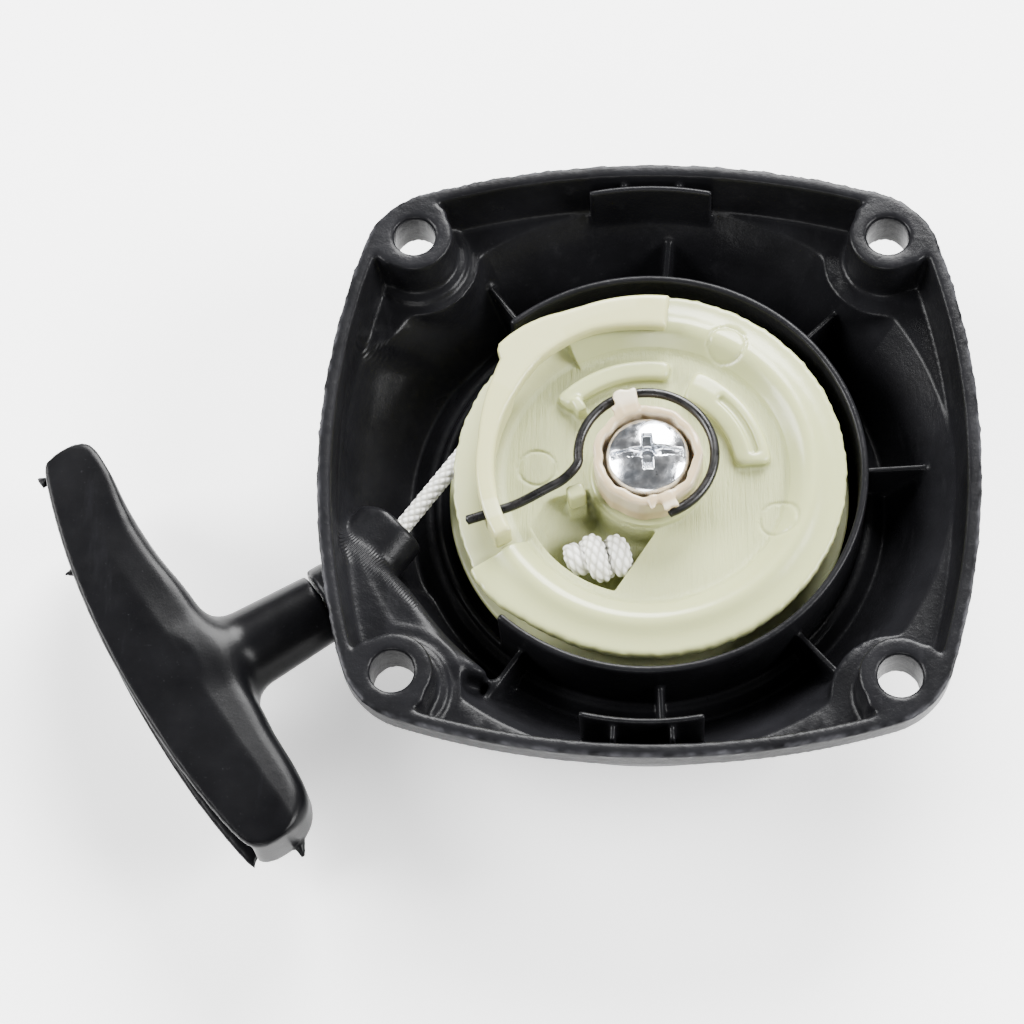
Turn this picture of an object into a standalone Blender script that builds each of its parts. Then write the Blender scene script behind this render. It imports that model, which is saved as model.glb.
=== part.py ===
"""Recoil starter for a small engine, lying on its back with the open engine side up.

Units are metres. The origin is the centre of the flat back face, on the reel's axis, and +Z
points out of the open side. Most sizes below are written in millimetres and scaled by MM.
"""
from math import atan2, cos, exp, pi, radians, sin, sqrt

import bmesh
import bpy
from mathutils import Matrix, Vector

MM = 0.001

# ---- driving dimensions, millimetres ------------------------------------------------------
DEPTH = 32.0                 # back face to the mounting rim
GAP = 0.3                    # clearance between pieces that touch

HALF_X, HALF_Y = 53.4, 52.8  # half the rim, measured across the middles of its bowed sides
SIDE_RADIUS = 130.0          # bow of each side
CORNER_RADIUS = 13.5
BAND_LOW = 27.4              # underside of the outer rim band
RIM_WALL = 2.2
SHELF_Z = 23.0               # corner shelves inside the rim
HOLE_X, HOLE_Y = 39.5, 39.0  # mounting holes, from the centre
HOLE_RADIUS = 3.5
BOSS_RADIUS = 6.5
LOBE_RADIUS = 10.4           # round lobes that stand into the bowl under the holes
BOWL_TOP, BOWL_BOTTOM = 49.7, 39.6
FLOOR_Z = 8.0
WALL = 2.0
NOSE_RADIUS = 37.0
RING_OUTER, RING_INNER = 36.0, 34.7
RING_TOP = 24.0
RING_CUT = (131.0, 228.0)    # the ring wall is cut low here, for the rope
RING_CUT_Z = 11.0
POCKET_RADIUS, POCKET_Z = 33.6, 3.0
POST_RADIUS, POST_TOP = 6.0, 21.9
RIB_ANGLES = (86.2, 45.6, 3.9, -47.4, -86.4, -123.9, 126.7)
RIB_TOP = 18.0

ROPE_RADIUS = 1.5
ROPE_Z = 17.6                # height of the rope's straight run and of the handle's neck
PULL_ANGLE = -147.0          # direction in which the handle is pulled
LEAD_ANGLE = -125.2          # direction of the rope where it leaves the reel
BEND = (-48.8, -19.9)        # where the rope turns from one direction to the other
NECK_START = 5.4             # from the bend to the handle's nose
GUIDE_RADIUS, NOZZLE_RADIUS, BORE_RADIUS = 4.8, 6.4, 2.3

FLANGE_RADIUS, FLANGE_TOP = 32.5, 23.0
LEDGE_RADIUS = 32.2          # the reel's rim below the flange
FLOOR_REEL = 21.0            # recessed floor of the reel
BEAD_TOP = 24.0
LOWER_FLANGE_RADIUS = 33.4
GROOVE_LOW, GROOVE_HIGH = 13.4, 19.8
CORE_RADIUS = 23.0
HUB_INNER, HUB_OUTER, HUB_TOP = 6.5, 9.6, 22.0
SPRING_LOW, SPRING_HIGH = 3.6, 11.4

PAWL_PIVOT = (0.0, 28.2)
PAWL_LOW, PAWL_TOP = 24.3, 27.0
PAWL_TAIL_LOW = 21.4
WIRE_RADIUS = 0.75
WIRE_Z, LEG_Z = 27.5, 25.1
LEG_ANGLE = 199.3

COLLAR_RADIUS, COLLAR_INNER = 9.0, 7.2
COLLAR_LOW, COLLAR_TOP = 22.3, 29.2
HEAD_RADIUS, HEAD_LOW, HEAD_TOP = 6.7, 25.2, 30.4

GRIP_THICK = 18.0
GRIP_BACK_WALL = 1.8

for old in list(bpy.data.objects):
    bpy.data.objects.remove(old, do_unlink=True)

parts = bpy.data.collections.new("recoil_starter")
cutters = bpy.data.collections.new("cutters")
for collection in (parts, cutters):
    bpy.context.scene.collection.children.link(collection)


# ---- materials ----------------------------------------------------------------------------
def material(name, colour, roughness, metallic=0.0):
    made = bpy.data.materials.new(name)
    made.use_nodes = True
    shader = made.node_tree.nodes["Principled BSDF"]
    shader.inputs["Base Color"].default_value = (*colour, 1.0)
    shader.inputs["Roughness"].default_value = roughness
    shader.inputs["Metallic"].default_value = metallic
    return made


BLACK = material("black_plastic", (0.018, 0.018, 0.021), 0.42)
HANDLE_BLACK = material("handle_plastic", (0.022, 0.022, 0.025), 0.45)
NYLON = material("natural_nylon", (0.72, 0.74, 0.60), 0.38)
PAWL_NYLON = material("pawl_nylon", (0.74, 0.75, 0.58), 0.38)
CREAM = material("cream_nylon", (0.83, 0.76, 0.66), 0.40)
WIRE_BLACK = material("oiled_wire", (0.03, 0.028, 0.03), 0.35, 0.6)
ZINC = material("bright_zinc", (0.75, 0.76, 0.80), 0.16, 1.0)
BRASS = material("brass", (0.70, 0.52, 0.25), 0.3, 1.0)
SPRING_STEEL = material("spring_steel", (0.35, 0.36, 0.40), 0.3, 1.0)
ROPE = material("white_rope", (0.82, 0.82, 0.80), 0.7)


# ---- helpers ------------------------------------------------------------------------------
def add_object(name, mesh, look=None, collection=None):
    made = bpy.data.objects.new(name, mesh)
    (collection or parts).objects.link(made)
    if look:
        made.data.materials.append(look)
    if made.name in cutters.objects:
        made.hide_render = True
        made.display_type = "WIRE"
    return made


def mesh_from(name, build):
    """A new mesh filled by build(bm), with its faces turned outwards."""
    mesh = bpy.data.meshes.new(name)
    bm = bmesh.new()
    build(bm)
    bmesh.ops.recalc_face_normals(bm, faces=bm.faces)
    bm.to_mesh(mesh)
    bm.free()
    return mesh


def fixed_mesh(made):
    """The object as a plain welded mesh object, for booleans; the original is removed."""
    graph = bpy.context.evaluated_depsgraph_get()
    mesh = bpy.data.meshes.new_from_object(made.evaluated_get(graph))
    bm = bmesh.new()
    bm.from_mesh(mesh)
    bm.transform(made.matrix_world)
    bmesh.ops.remove_doubles(bm, verts=bm.verts, dist=0.00001)
    bmesh.ops.recalc_face_normals(bm, faces=bm.faces)
    bm.to_mesh(mesh)
    bm.free()
    name, home = made.name, made.users_collection[0]
    bpy.data.objects.remove(made, do_unlink=True)
    return add_object(name, mesh, None, home)


def plate(name, outline, low, high, look=None, collection=None):
    """A flat outline, in millimetres, made solid between two heights."""
    curve = bpy.data.curves.new(name, "CURVE")
    curve.dimensions = "2D"
    curve.fill_mode = "BOTH"
    curve.extrude = (high - low) / 2 * MM
    spline = curve.splines.new("POLY")
    spline.points.add(len(outline) - 1)
    for point, (x, y) in zip(spline.points, outline):
        point.co = (x * MM, y * MM, 0.0, 1.0)
    spline.use_cyclic_u = True
    made = add_object(name, curve, None, collection)
    made.location.z = (high + low) / 2 * MM
    bpy.context.view_layer.update()
    made = fixed_mesh(made)
    if look:
        made.data.materials.append(look)
    return made


def turned(name, profile, steps, look=None, collection=None):
    """A closed (radius, height) profile, in millimetres, turned about Z."""
    def build(bm):
        corners = [bm.verts.new((r * MM, 0.0, z * MM)) for r, z in profile]
        for first, second in zip(corners, corners[1:] + corners[:1]):
            bm.edges.new((first, second))
        bmesh.ops.spin(bm, geom=bm.verts[:] + bm.edges[:], cent=(0, 0, 0), axis=(0, 0, 1),
                       angle=2 * pi, steps=steps, use_merge=True)
        bmesh.ops.remove_doubles(bm, verts=bm.verts, dist=0.00001)
        bmesh.ops.dissolve_degenerate(bm, edges=bm.edges, dist=0.000005)
    return add_object(name, mesh_from(name, build), look, collection)


def cylinder(name, radius, low, high, x=0.0, y=0.0, top=None, sides=28, look=None,
             collection=None):
    """An upright cylinder or cone, in millimetres."""
    def build(bm):
        middle = Matrix.Translation((x * MM, y * MM, (low + high) / 2 * MM))
        bmesh.ops.create_cone(bm, cap_ends=True, segments=sides, radius1=radius * MM,
                              radius2=(radius if top is None else top) * MM,
                              depth=(high - low) * MM, matrix=middle)
    return add_object(name, mesh_from(name, build), look, collection)


def rod(name, start, end, radius, end_radius=None, sides=28, collection=None):
    """A cylinder or cone between two points, in millimetres."""
    first, last = Vector(start), Vector(end)
    turn = (last - first).to_track_quat("Z", "Y").to_matrix().to_4x4()

    def build(bm):
        place = Matrix.Translation((first + last) / 2 * MM) @ turn
        bmesh.ops.create_cone(bm, cap_ends=True, segments=sides, radius1=radius * MM,
                              radius2=(radius if end_radius is None else end_radius) * MM,
                              depth=(last - first).length * MM, matrix=place)
    return add_object(name, mesh_from(name, build), None, collection)


def ball(name, centre, radii, collection=None, sides=14):
    def build(bm):
        size = Matrix.Diagonal((*(r * MM for r in radii), 1.0))
        place = Matrix.Translation(Vector(centre) * MM) @ size
        bmesh.ops.create_uvsphere(bm, u_segments=sides, v_segments=sides // 2, radius=1.0,
                                  matrix=place)
    return add_object(name, mesh_from(name, build), None, collection)


def block(name, centre, size, angle=0.0, collection=None):
    """A box, in millimetres, turned about Z by an angle in degrees."""
    def build(bm):
        place = Matrix.Translation(Vector(centre) * MM) @ Matrix.Rotation(radians(angle), 4, "Z")
        bmesh.ops.create_cube(bm, size=1.0,
                              matrix=place @ Matrix.Diagonal((*(s * MM for s in size), 1.0)))
    return add_object(name, mesh_from(name, build), None, collection)


def taper(name, low_outline, high_outline, low, high):
    """A solid between two outlines with the same number of points, at two heights."""
    def build(bm):
        rings = []
        for outline, height in ((low_outline, low), (high_outline, high)):
            rings.append([bm.verts.new((x * MM, y * MM, height * MM)) for x, y in outline])
            bm.faces.new(rings[-1])
        count = len(low_outline)
        for i in range(count):
            j = (i + 1) % count
            bm.faces.new((rings[0][i], rings[0][j], rings[1][j], rings[1][i]))
    return add_object(name, mesh_from(name, build))


def fin(name, profile, thickness, angle):
    """A flat upright rib: its (radius, height) profile, turned about Z to an angle."""
    made = plate(name, profile, -thickness / 2, thickness / 2)
    made.data.transform(Matrix.Rotation(radians(angle), 4, "Z") @ Matrix.Rotation(pi / 2, 4, "X"))
    return made


def boolean(target, other, operation):
    step = target.modifiers.new(operation.lower() + "_" + other.name, "BOOLEAN")
    step.operation = operation
    step.solver = "EXACT"
    step.object = other
    if other.name in parts.objects:
        parts.objects.unlink(other)
        cutters.objects.link(other)
    other.hide_render = True
    other.display_type = "WIRE"


def cut(target, *others):
    for other in others:
        boolean(target, other, "DIFFERENCE")


def join(target, *others):
    for other in others:
        boolean(target, other, "UNION")


def smooth(made, angle=35.0):
    made.data.shade_smooth()
    made.data.set_sharp_from_angle(angle=radians(angle))


def polar(radius, angle):
    return (radius * cos(radians(angle)), radius * sin(radians(angle)))


def arc(radius, start, end, steps, centre=(0.0, 0.0)):
    points = []
    for i in range(steps + 1):
        x, y = polar(radius, start + (end - start) * i / steps)
        points.append((centre[0] + x, centre[1] + y))
    return points


def arc_band(inner, outer, start, end, steps=16):
    return arc(outer, start, end, steps) + arc(inner, end, start, steps)


def pull_frame(along, across):
    """A point given along the pull direction, and across it, from the bend."""
    x, y = polar(along, PULL_ANGLE)
    dx, dy = polar(across, PULL_ANGLE + 90)
    return (BEND[0] + x + dx, BEND[1] + y + dy)


def rim_outline(inset, steps=7):
    """The rounded square with bowed sides, drawn with arcs and shrunk by an inset."""
    side, corner = SIDE_RADIUS - inset, CORNER_RADIUS - inset
    mean = (HALF_X + HALF_Y) / 2
    reach = SIDE_RADIUS - mean                        # centre of a side's arc, past the middle
    span = SIDE_RADIUS - CORNER_RADIUS
    place = (-reach + sqrt(2 * span * span - reach * reach)) / 2
    half_side = atan2(place, place + reach) * 180 / pi
    points = []
    for turn in range(4):
        quarter = []
        for x, y in arc(side, -half_side, half_side, steps * 2 + 1):
            quarter.append((x - reach, y))
        quarter += arc(corner, half_side, 90 - half_side, steps, (place, place))[1:-1]
        angle = turn * pi / 2
        for x, y in quarter:
            points.append((x * cos(angle) - y * sin(angle), x * sin(angle) + y * cos(angle)))
    return [(x * HALF_X / mean, y * HALF_Y / mean) for x, y in points]


HOLES = [(HOLE_X * i, HOLE_Y * j) for i in (-1, 1) for j in (-1, 1)]


# ---- housing ------------------------------------------------------------------------------
def make_housing():
    housing = plate("starter_housing", rim_outline(0.0), BAND_LOW, DEPTH, BLACK)
    bowl = turned("bowl_outer", [
        (0.0, BAND_LOW + 1.0), (BOWL_TOP + 1.6, BAND_LOW + 1.0), (BOWL_TOP + 1.5, SHELF_Z - 0.5),
        (BOWL_BOTTOM + WALL, FLOOR_Z - WALL), (NOSE_RADIUS + 0.8, FLOOR_Z - WALL - 0.8),
        (NOSE_RADIUS + 0.3, 0.7), (NOSE_RADIUS - 0.4, 0.0), (0.0, 0.0)], 60)
    join(housing, bowl)
    shelf_low = SHELF_Z - 2.2
    body_shape = (rim_outline(2.6), rim_outline(0.9), shelf_low, BAND_LOW + 0.2)
    join(housing, taper("shelf_body", *body_shape))
    pocket = taper("rim_pocket", rim_outline(RIM_WALL + 1.4), rim_outline(RIM_WALL - 0.45),
                   SHELF_Z, DEPTH + 3.0)
    lean = (BOWL_TOP - BOWL_BOTTOM) / (SHELF_Z - FLOOR_Z)
    hollow = turned("bowl_hollow", [
        (0.0, SHELF_Z + 0.6), (BOWL_TOP + 0.6 * lean, SHELF_Z + 0.6), (BOWL_BOTTOM, FLOOR_Z),
        (0.0, FLOOR_Z)], 60)
    for number, (x, y) in enumerate(HOLES):
        angle = atan2(y, x) * 180 / pi
        keep = cylinder("keep_%d" % number, BOSS_RADIUS, SHELF_Z - 2.0, DEPTH + 4.0, x, y)
        dx, dy = polar(9.0, angle)
        join(keep, block("keep_corner_%d" % number, (x + dx, y + dy, SHELF_Z + 5.0),
                         (18.0, 2 * BOSS_RADIUS + 1.0, 15.0), angle))
        cut(pocket, keep)
        cut(hollow, cylinder("lobe_keep_%d" % number, LOBE_RADIUS - 0.1, 2.0, 30.0, x, y))
    cut(housing, pocket, hollow)
    cut(housing, cylinder("spring_pocket", POCKET_RADIUS, POCKET_Z, FLOOR_Z + 2.0, sides=60))

    ring = turned("ring_wall", [
        (RING_OUTER, RING_TOP), (RING_OUTER + 0.8, FLOOR_Z + 1.5), (RING_OUTER + 3.0, FLOOR_Z - 1.0),
        (RING_INNER, FLOOR_Z - 1.0), (RING_INNER, RING_TOP)], 60)
    wedge = plate("ring_gap", arc_band(20.0, 45.0, *RING_CUT), RING_CUT_Z, 30.0)
    cut(ring, wedge)
    rib = [(RING_INNER + 0.5, FLOOR_Z - 0.8), (BOWL_BOTTOM + 0.6, FLOOR_Z - 0.8),
           (BOWL_BOTTOM + 7.7, RIB_TOP), (RING_INNER + 0.5, RIB_TOP)]
    for number, angle in enumerate(RIB_ANGLES):
        join(ring, fin("rib_%d" % number, rib, 1.1, angle))
    join(housing, ring)
    join(housing, cylinder("post", POST_RADIUS, POCKET_Z - 1.0, POST_TOP))

    # locating tabs for the engine, at the upper and lower sides of the rim
    join(housing, plate("upper_tab", arc_band(48.2, 49.3, 78.0, 102.0), 20.6, DEPTH - 0.8))
    join(housing, plate("lower_tab", arc_band(45.8, 46.9, -103.0, -78.0), 17.2, DEPTH - 1.5))
    for number, x in enumerate((-4.5, 4.8)):
        join(housing, block("upper_web_%d" % number, (x, 49.9, 27.3), (0.9, 2.0, 7.2)))
        join(housing, block("lower_web_%d" % number, (x - 0.4, -48.7, 26.6), (0.9, 4.4, 6.0)))

    # round guide that leads the rope to the handle, and the nozzle where it comes out
    dx, dy = polar(12.5, LEAD_ANGLE)
    inner = (BEND[0] - dx, BEND[1] - dy, ROPE_Z)
    bend = (*BEND, ROPE_Z)
    outlet = (*pull_frame(NECK_START - 1.0, 0.0), ROPE_Z)
    join(housing, rod("guide", inner, bend, GUIDE_RADIUS))
    side_x, side_y = polar(3.4, LEAD_ANGLE - 90)
    beside = [(p[0] + side_x, p[1] + side_y, ROPE_Z - 0.2) for p in (inner, bend)]
    join(housing, rod("guide_side", *beside, GUIDE_RADIUS - 0.4))
    join(housing, rod("nozzle", (*pull_frame(1.0, 0.0), ROPE_Z), outlet, NOZZLE_RADIUS))
    join(housing, ball("guide_bend", bend, (GUIDE_RADIUS,) * 3, sides=24))
    dx, dy = polar(16.0, LEAD_ANGLE)
    far_in = (BEND[0] - dx, BEND[1] - dy, ROPE_Z)
    cut(housing, rod("bore_in", far_in, bend, BORE_RADIUS + 0.02, sides=24))
    cut(housing, rod("bore_out", bend, (*pull_frame(12.0, 0.0), ROPE_Z), BORE_RADIUS, sides=24))
    cut(housing, ball("bore_bend", bend, (BORE_RADIUS + 0.1,) * 3, sides=24))

    for number, (x, y) in enumerate(HOLES):
        cut(housing, cylinder("hole_%d" % number, HOLE_RADIUS, 10.0, DEPTH + 4.0, x, y))
        cut(housing, cylinder("hole_mouth_%d" % number, HOLE_RADIUS, DEPTH - 0.8, DEPTH + 0.4,
                              x, y, top=HOLE_RADIUS + 1.2))
    cut(housing, cylinder("insert_bore", 4.3, 8.6, POST_TOP + 2.0))
    smooth(housing)


def make_insert():
    sleeve = turned("threaded_insert", [
        (4.0, POST_TOP), (4.0, 9.0), (2.95, 9.0), (2.95, POST_TOP)], 32, BRASS)
    smooth(sleeve)


# ---- reel and what it carries ---------------------------------------------------------------
def flange_radius(angle):
    """The upper flange is round but for a slight swell on one side."""
    away = (angle + 142.0 + 180.0) % 360.0 - 180.0
    return FLANGE_RADIUS + 1.5 * exp(-(away / 15.0) ** 2)


def make_reel():
    reel = turned("rope_reel", [
        (HUB_OUTER - 0.4, HUB_TOP), (HUB_OUTER, FLOOR_REEL), (22.2, FLOOR_REEL),
        (24.6, FLANGE_TOP - 0.3), (25.8, BEAD_TOP - 0.15), (27.0, BEAD_TOP),
        (28.2, BEAD_TOP - 0.2), (29.6, FLANGE_TOP), (LEDGE_RADIUS, FLANGE_TOP),
        (LEDGE_RADIUS, GROOVE_HIGH), (CORE_RADIUS, GROOVE_HIGH), (CORE_RADIUS, GROOVE_LOW),
        (LOWER_FLANGE_RADIUS, GROOVE_LOW), (LOWER_FLANGE_RADIUS, 12.0), (HUB_OUTER, 12.0),
        (HUB_OUTER, SPRING_LOW), (HUB_INNER, SPRING_LOW), (HUB_INNER, HUB_TOP)], 60, NYLON)
    edge = []
    for step in range(60):
        angle = step * 6.0
        edge.append(polar(flange_radius(angle), angle))
    flange = plate("upper_flange", edge, FLANGE_TOP - 1.9, FLANGE_TOP)
    cut(flange, cylinder("flange_hole", 30.0, FLANGE_TOP - 5.0, FLANGE_TOP + 5.0, sides=60))
    join(reel, flange)
    # ledge that leaves room for the pawl's tail
    cut(reel, plate("pawl_ledge", arc_band(22.0, 40.0, 121.0, 212.0, 24), FLOOR_REEL, 30.0))
    cut(reel, cylinder("pivot_hole", 2.5, GROOVE_HIGH + 1.0, 30.0, *PAWL_PIVOT, sides=24))
    # pocket for the rope's knot, open at the top, with a straight right side
    pocket = arc(21.3, -144.0, -104.0, 10) + [(1.3, -10.0)] + arc(10.1, -86.0, -156.0, 8)
    cut(reel, plate("knot_pocket", pocket, 14.6, 30.0))
    x, y = polar(18.0, -118.0)
    dx, dy = polar(26.0, -118.0)
    cut(reel, rod("rope_hole", (x, y, 16.6), (dx, dy, 16.6), 1.9, sides=20))
    # curved ribs and posts on the floor
    join(reel, plate("curved_rib_a", arc_band(16.8, 20.4, 79.0, 140.0), FLOOR_REEL - 1.0, 22.8))
    join(reel, plate("curved_rib_b", arc_band(14.2, 20.4, 4.0, 68.0), FLOOR_REEL - 1.0, 22.5))
    join(reel, block("wire_post", (-11.6, -5.2, 21.0), (3.2, 2.6, 10.2), 20.0))
    join(reel, block("small_post", (-11.6, 11.6, 22.0), (1.8, 3.0, 4.2), 30.0))
    smooth(reel)


def make_pawl():
    """A curved nylon arm: pivot end, claw, then a tail that the friction wire passes through."""
    head_inner = arc(25.6, 86.0, 134.0, 10)
    head_outer = arc(30.6, 86.0, 112.0, 6)
    claw = [polar(31.2, 118.0), polar(32.1, 124.0), polar(32.6, 130.0), polar(32.9, 135.0),
            polar(33.0, 139.5), polar(32.6, 141.5), polar(31.2, 142.5)]
    tail_outer = [polar(30.2, 150.0), polar(28.9, 162.0)] + arc(28.0, 172.0, 209.0, 7)
    tail_inner = arc(25.2, 209.0, 150.0, 10) + [polar(25.4, 142.0)]
    outline = head_outer + claw + tail_outer + tail_inner + head_inner[::-1]
    pawl = plate("ratchet_pawl", outline, PAWL_LOW, PAWL_TOP, PAWL_NYLON)
    tail = arc(27.8, 172.0, 208.6, 7) + arc(25.4, 208.6, 150.0, 10) + [polar(28.6, 155.0)]
    join(pawl, plate("pawl_tail", tail, PAWL_TAIL_LOW, PAWL_LOW + 1.0))
    join(pawl, cylinder("pawl_trunnion", 2.2, FLOOR_REEL + 0.1, PAWL_LOW + 1.0, *PAWL_PIVOT,
                        sides=24))
    x, y = polar(26.6, LEG_ANGLE)
    cut(pawl, block("wire_slot", (x, y, LEG_Z), (8.0, 4.2, 2.4), LEG_ANGLE))
    smooth(pawl)


def friction_wire_route():
    """Hook end, open loop round the collar, then a bend into the straight leg."""
    centre, radius = (-0.2, 0.7), 11.15
    route = [(3.4, -9.9, WIRE_Z)]
    for step in range(28):
        x, y = polar(radius, -62.0 + step * 252.0 / 27)
        route.append((centre[0] + x, centre[1] + y, WIRE_Z))
    for distance in (14.2, 17.0, 20.0, 23.0, 26.0, 29.0, 31.2):
        blend = min(1.0, (distance - 12.0) / 10.0)
        x, y = polar(distance, LEG_ANGLE - 4.5 * (1.0 - blend))
        route.append((x, y, WIRE_Z + (LEG_Z - WIRE_Z) * blend))
    return route


def tube(name, route, radius, look, resolution=2):
    """A tube along a route of points, in millimetres."""
    curve = bpy.data.curves.new(name, "CURVE")
    curve.dimensions = "3D"
    curve.bevel_depth = radius * MM
    curve.bevel_resolution = resolution
    curve.use_fill_caps = True
    spline = curve.splines.new("POLY")
    spline.points.add(len(route) - 1)
    for point, place in zip(spline.points, route):
        point.co = (*(value * MM for value in place), 1.0)
    made = add_object(name, curve)
    curve.materials.append(look)
    return made


def make_wire():
    tube("friction_wire", friction_wire_route(), WIRE_RADIUS, WIRE_BLACK)


def make_collar():
    collar = turned("friction_collar", [
        (COLLAR_RADIUS - 0.4, COLLAR_TOP), (COLLAR_RADIUS, COLLAR_TOP - 0.4),
        (COLLAR_RADIUS, COLLAR_LOW), (3.1, COLLAR_LOW), (3.1, HEAD_LOW - 0.3),
        (COLLAR_INNER, HEAD_LOW - 0.3), (COLLAR_INNER, COLLAR_TOP)], 48, CREAM)
    lug_low = WIRE_Z + WIRE_RADIUS + GAP + 0.05
    join(collar, plate("long_lug", arc_band(8.0, 12.4, 100.0, 121.0, 6), lug_low, COLLAR_TOP + 0.3))
    join(collar, plate("short_lug", arc_band(8.0, 10.6, -74.0, -60.0, 4), lug_low,
                       COLLAR_TOP + 0.2))
    smooth(collar)


def make_screw():
    rise = HEAD_TOP - HEAD_LOW
    dome = [(HEAD_RADIUS * sin(a), HEAD_LOW + 1.2 + (rise - 1.2) * cos(a))
            for a in [pi / 2 * i / 6 for i in range(7)]]
    profile = dome + [(HEAD_RADIUS - 0.2, HEAD_LOW), (2.6, HEAD_LOW), (2.6, 11.0), (0.0, 11.0)]
    screw = turned("centre_screw", profile, 40, ZINC)
    for number, (length, width) in enumerate(((13.6, 1.5), (6.4, 1.9))):
        cut(screw, block("recess_%d" % number, (0.0, 0.0, HEAD_TOP - 0.4),
                         (length, width, 3.0), 90.0 * number + 3.0))
    smooth(screw)


def make_recoil_spring():
    """The clock spring under the reel, as one flat spiral strip."""
    turns, per_turn, inner, outer, half = 7, 26, 11.6, 32.4, 0.35
    left, right = [], []
    for step in range(turns * per_turn + 1):
        share = step / (turns * per_turn)
        radius = inner + (outer - inner) * share
        angle = 360.0 * turns * share
        left.append(polar(radius + half, angle))
        right.append(polar(radius - half, angle))
    strip = plate("recoil_spring", left + right[::-1], SPRING_LOW, SPRING_HIGH, SPRING_STEEL)
    smooth(strip)


# ---- rope, knots and handle -------------------------------------------------------------------
def make_rope():
    coil = turned("rope_coil", [
        (26.4, GROOVE_HIGH - 0.4), (26.4, GROOVE_LOW + 0.4), (CORE_RADIUS + 0.3, GROOVE_LOW + 0.4),
        (CORE_RADIUS + 0.3, GROOVE_HIGH - 0.4)], 60, ROPE)
    smooth(coil)

    # straight run from the reel, a smooth turn inside the guide, then out along the pull
    def on_lead(distance):
        x, y = polar(distance, LEAD_ANGLE)
        return (BEND[0] - x, BEND[1] - y)

    first, last = on_lead(4.5), pull_frame(4.0, 0.0)
    route = []
    for step in range(9):
        route.append(on_lead(44.0 - (44.0 - 4.5) * step / 8))
    for step in range(1, 6):
        share = step / 6
        weights = ((1 - share) ** 2, 2 * share * (1 - share), share ** 2)
        route.append(tuple(weights[0] * first[i] + weights[1] * BEND[i] + weights[2] * last[i]
                           for i in (0, 1)))
    route.append(last)
    route.append(pull_frame(NECK_START - 0.6, 0.0))
    tube("rope_lead", [(x, y, ROPE_Z) for x, y in route], ROPE_RADIUS, ROPE)

    run = [(*pull_frame(NECK_START - 0.3 + 26.0 * step / 8, 0.0), ROPE_Z) for step in range(9)]
    tube("handle_rope", run, ROPE_RADIUS, ROPE)

    knot = ball("reel_knot", (-8.6, -15.2, 19.4), (2.6, 3.3, 3.0))
    knot.data.materials.append(ROPE)
    join(knot, ball("knot_right", (-4.9, -15.4, 19.2), (2.4, 3.0, 2.7)))
    join(knot, ball("knot_left", (-12.2, -14.9, 18.9), (2.0, 2.2, 2.2)))
    smooth(knot)


def grip_outline():
    """The grip from above: along the pull direction, and across it, from the handle's nose."""
    front = [(17.0, 9.5), (17.4, 17.0), (17.3, 24.0), (18.0, 28.5), (20.2, 31.4)]
    lower_end = [(24.5, 32.4), (28.6, 31.6)]
    back = [(31.2, 27.5), (32.9, 16.0), (33.6, 3.0), (33.5, -9.0), (32.4, -21.0), (30.4, -32.0)]
    upper_end = [(27.4, -41.0), (25.4, -42.4), (21.2, -42.6), (19.0, -41.2)]
    inside = [(18.4, -38.0), (18.9, -30.0), (18.6, -21.0), (17.3, -9.5)]
    return front + lower_end + back + upper_end + inside


def make_handle():
    place = Matrix.Translation((*(v * MM for v in pull_frame(NECK_START, 0.0)), ROPE_Z * MM))
    place = place @ Matrix.Rotation(radians(PULL_ANGLE), 4, "Z")
    half = GRIP_THICK / 2
    handle = plate("pull_handle", grip_outline(), -half, half, HANDLE_BLACK)
    bevel = handle.modifiers.new("rounded", "BEVEL")
    bevel.width = 3.0 * MM
    bevel.segments = 3
    bevel.limit_method = "ANGLE"
    bevel.angle_limit = radians(50)
    neck = turned("neck", [(0.0, 20.0), (8.3, 20.0), (8.3, 18.0), (7.2, 16.3), (6.6, 13.5),
                           (5.85, 0.3), (5.55, 0.0), (0.0, 0.0)], 28)
    neck.data.transform(Matrix.Rotation(pi / 2, 4, "Y"))
    hollow = [(x + 5.2, y * 0.93 - 0.3) for x, y in grip_outline()]
    scoop = plate("grip_hollow", hollow, -half + GRIP_BACK_WALL, half - GRIP_BACK_WALL)
    bore = rod("neck_bore", (-2.0, 0.0, 0.0), (26.0, 0.0, 0.0), 1.9, sides=20)
    for piece in (handle, neck, scoop, bore):
        piece.data.transform(place)
    join(handle, neck)
    cut(handle, scoop, bore)
    smooth(handle)

    x, y = pull_frame(NECK_START + 28.6, 0.0)
    knot = ball("handle_knot", (x, y, ROPE_Z), (2.6, 3.2, 3.0))
    knot.data.materials.append(ROPE)
    smooth(knot)


make_housing()
make_insert()
make_reel()
make_pawl()
make_wire()
make_collar()
make_screw()
make_recoil_spring()
make_rope()
make_handle()
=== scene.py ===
"""Looks for the recoil starter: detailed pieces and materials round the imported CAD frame.

Moulded pieces are written as distance fields in millimetres, in the CAD frame (back face at
z = 0, reel axis on Z), and meshed on a round or a square grid. Everything else is in metres.
"""

from math import ceil, cos, pi, radians, sin

import bpy
import bmesh
import numpy as np
from mathutils import Matrix, Vector


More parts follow.
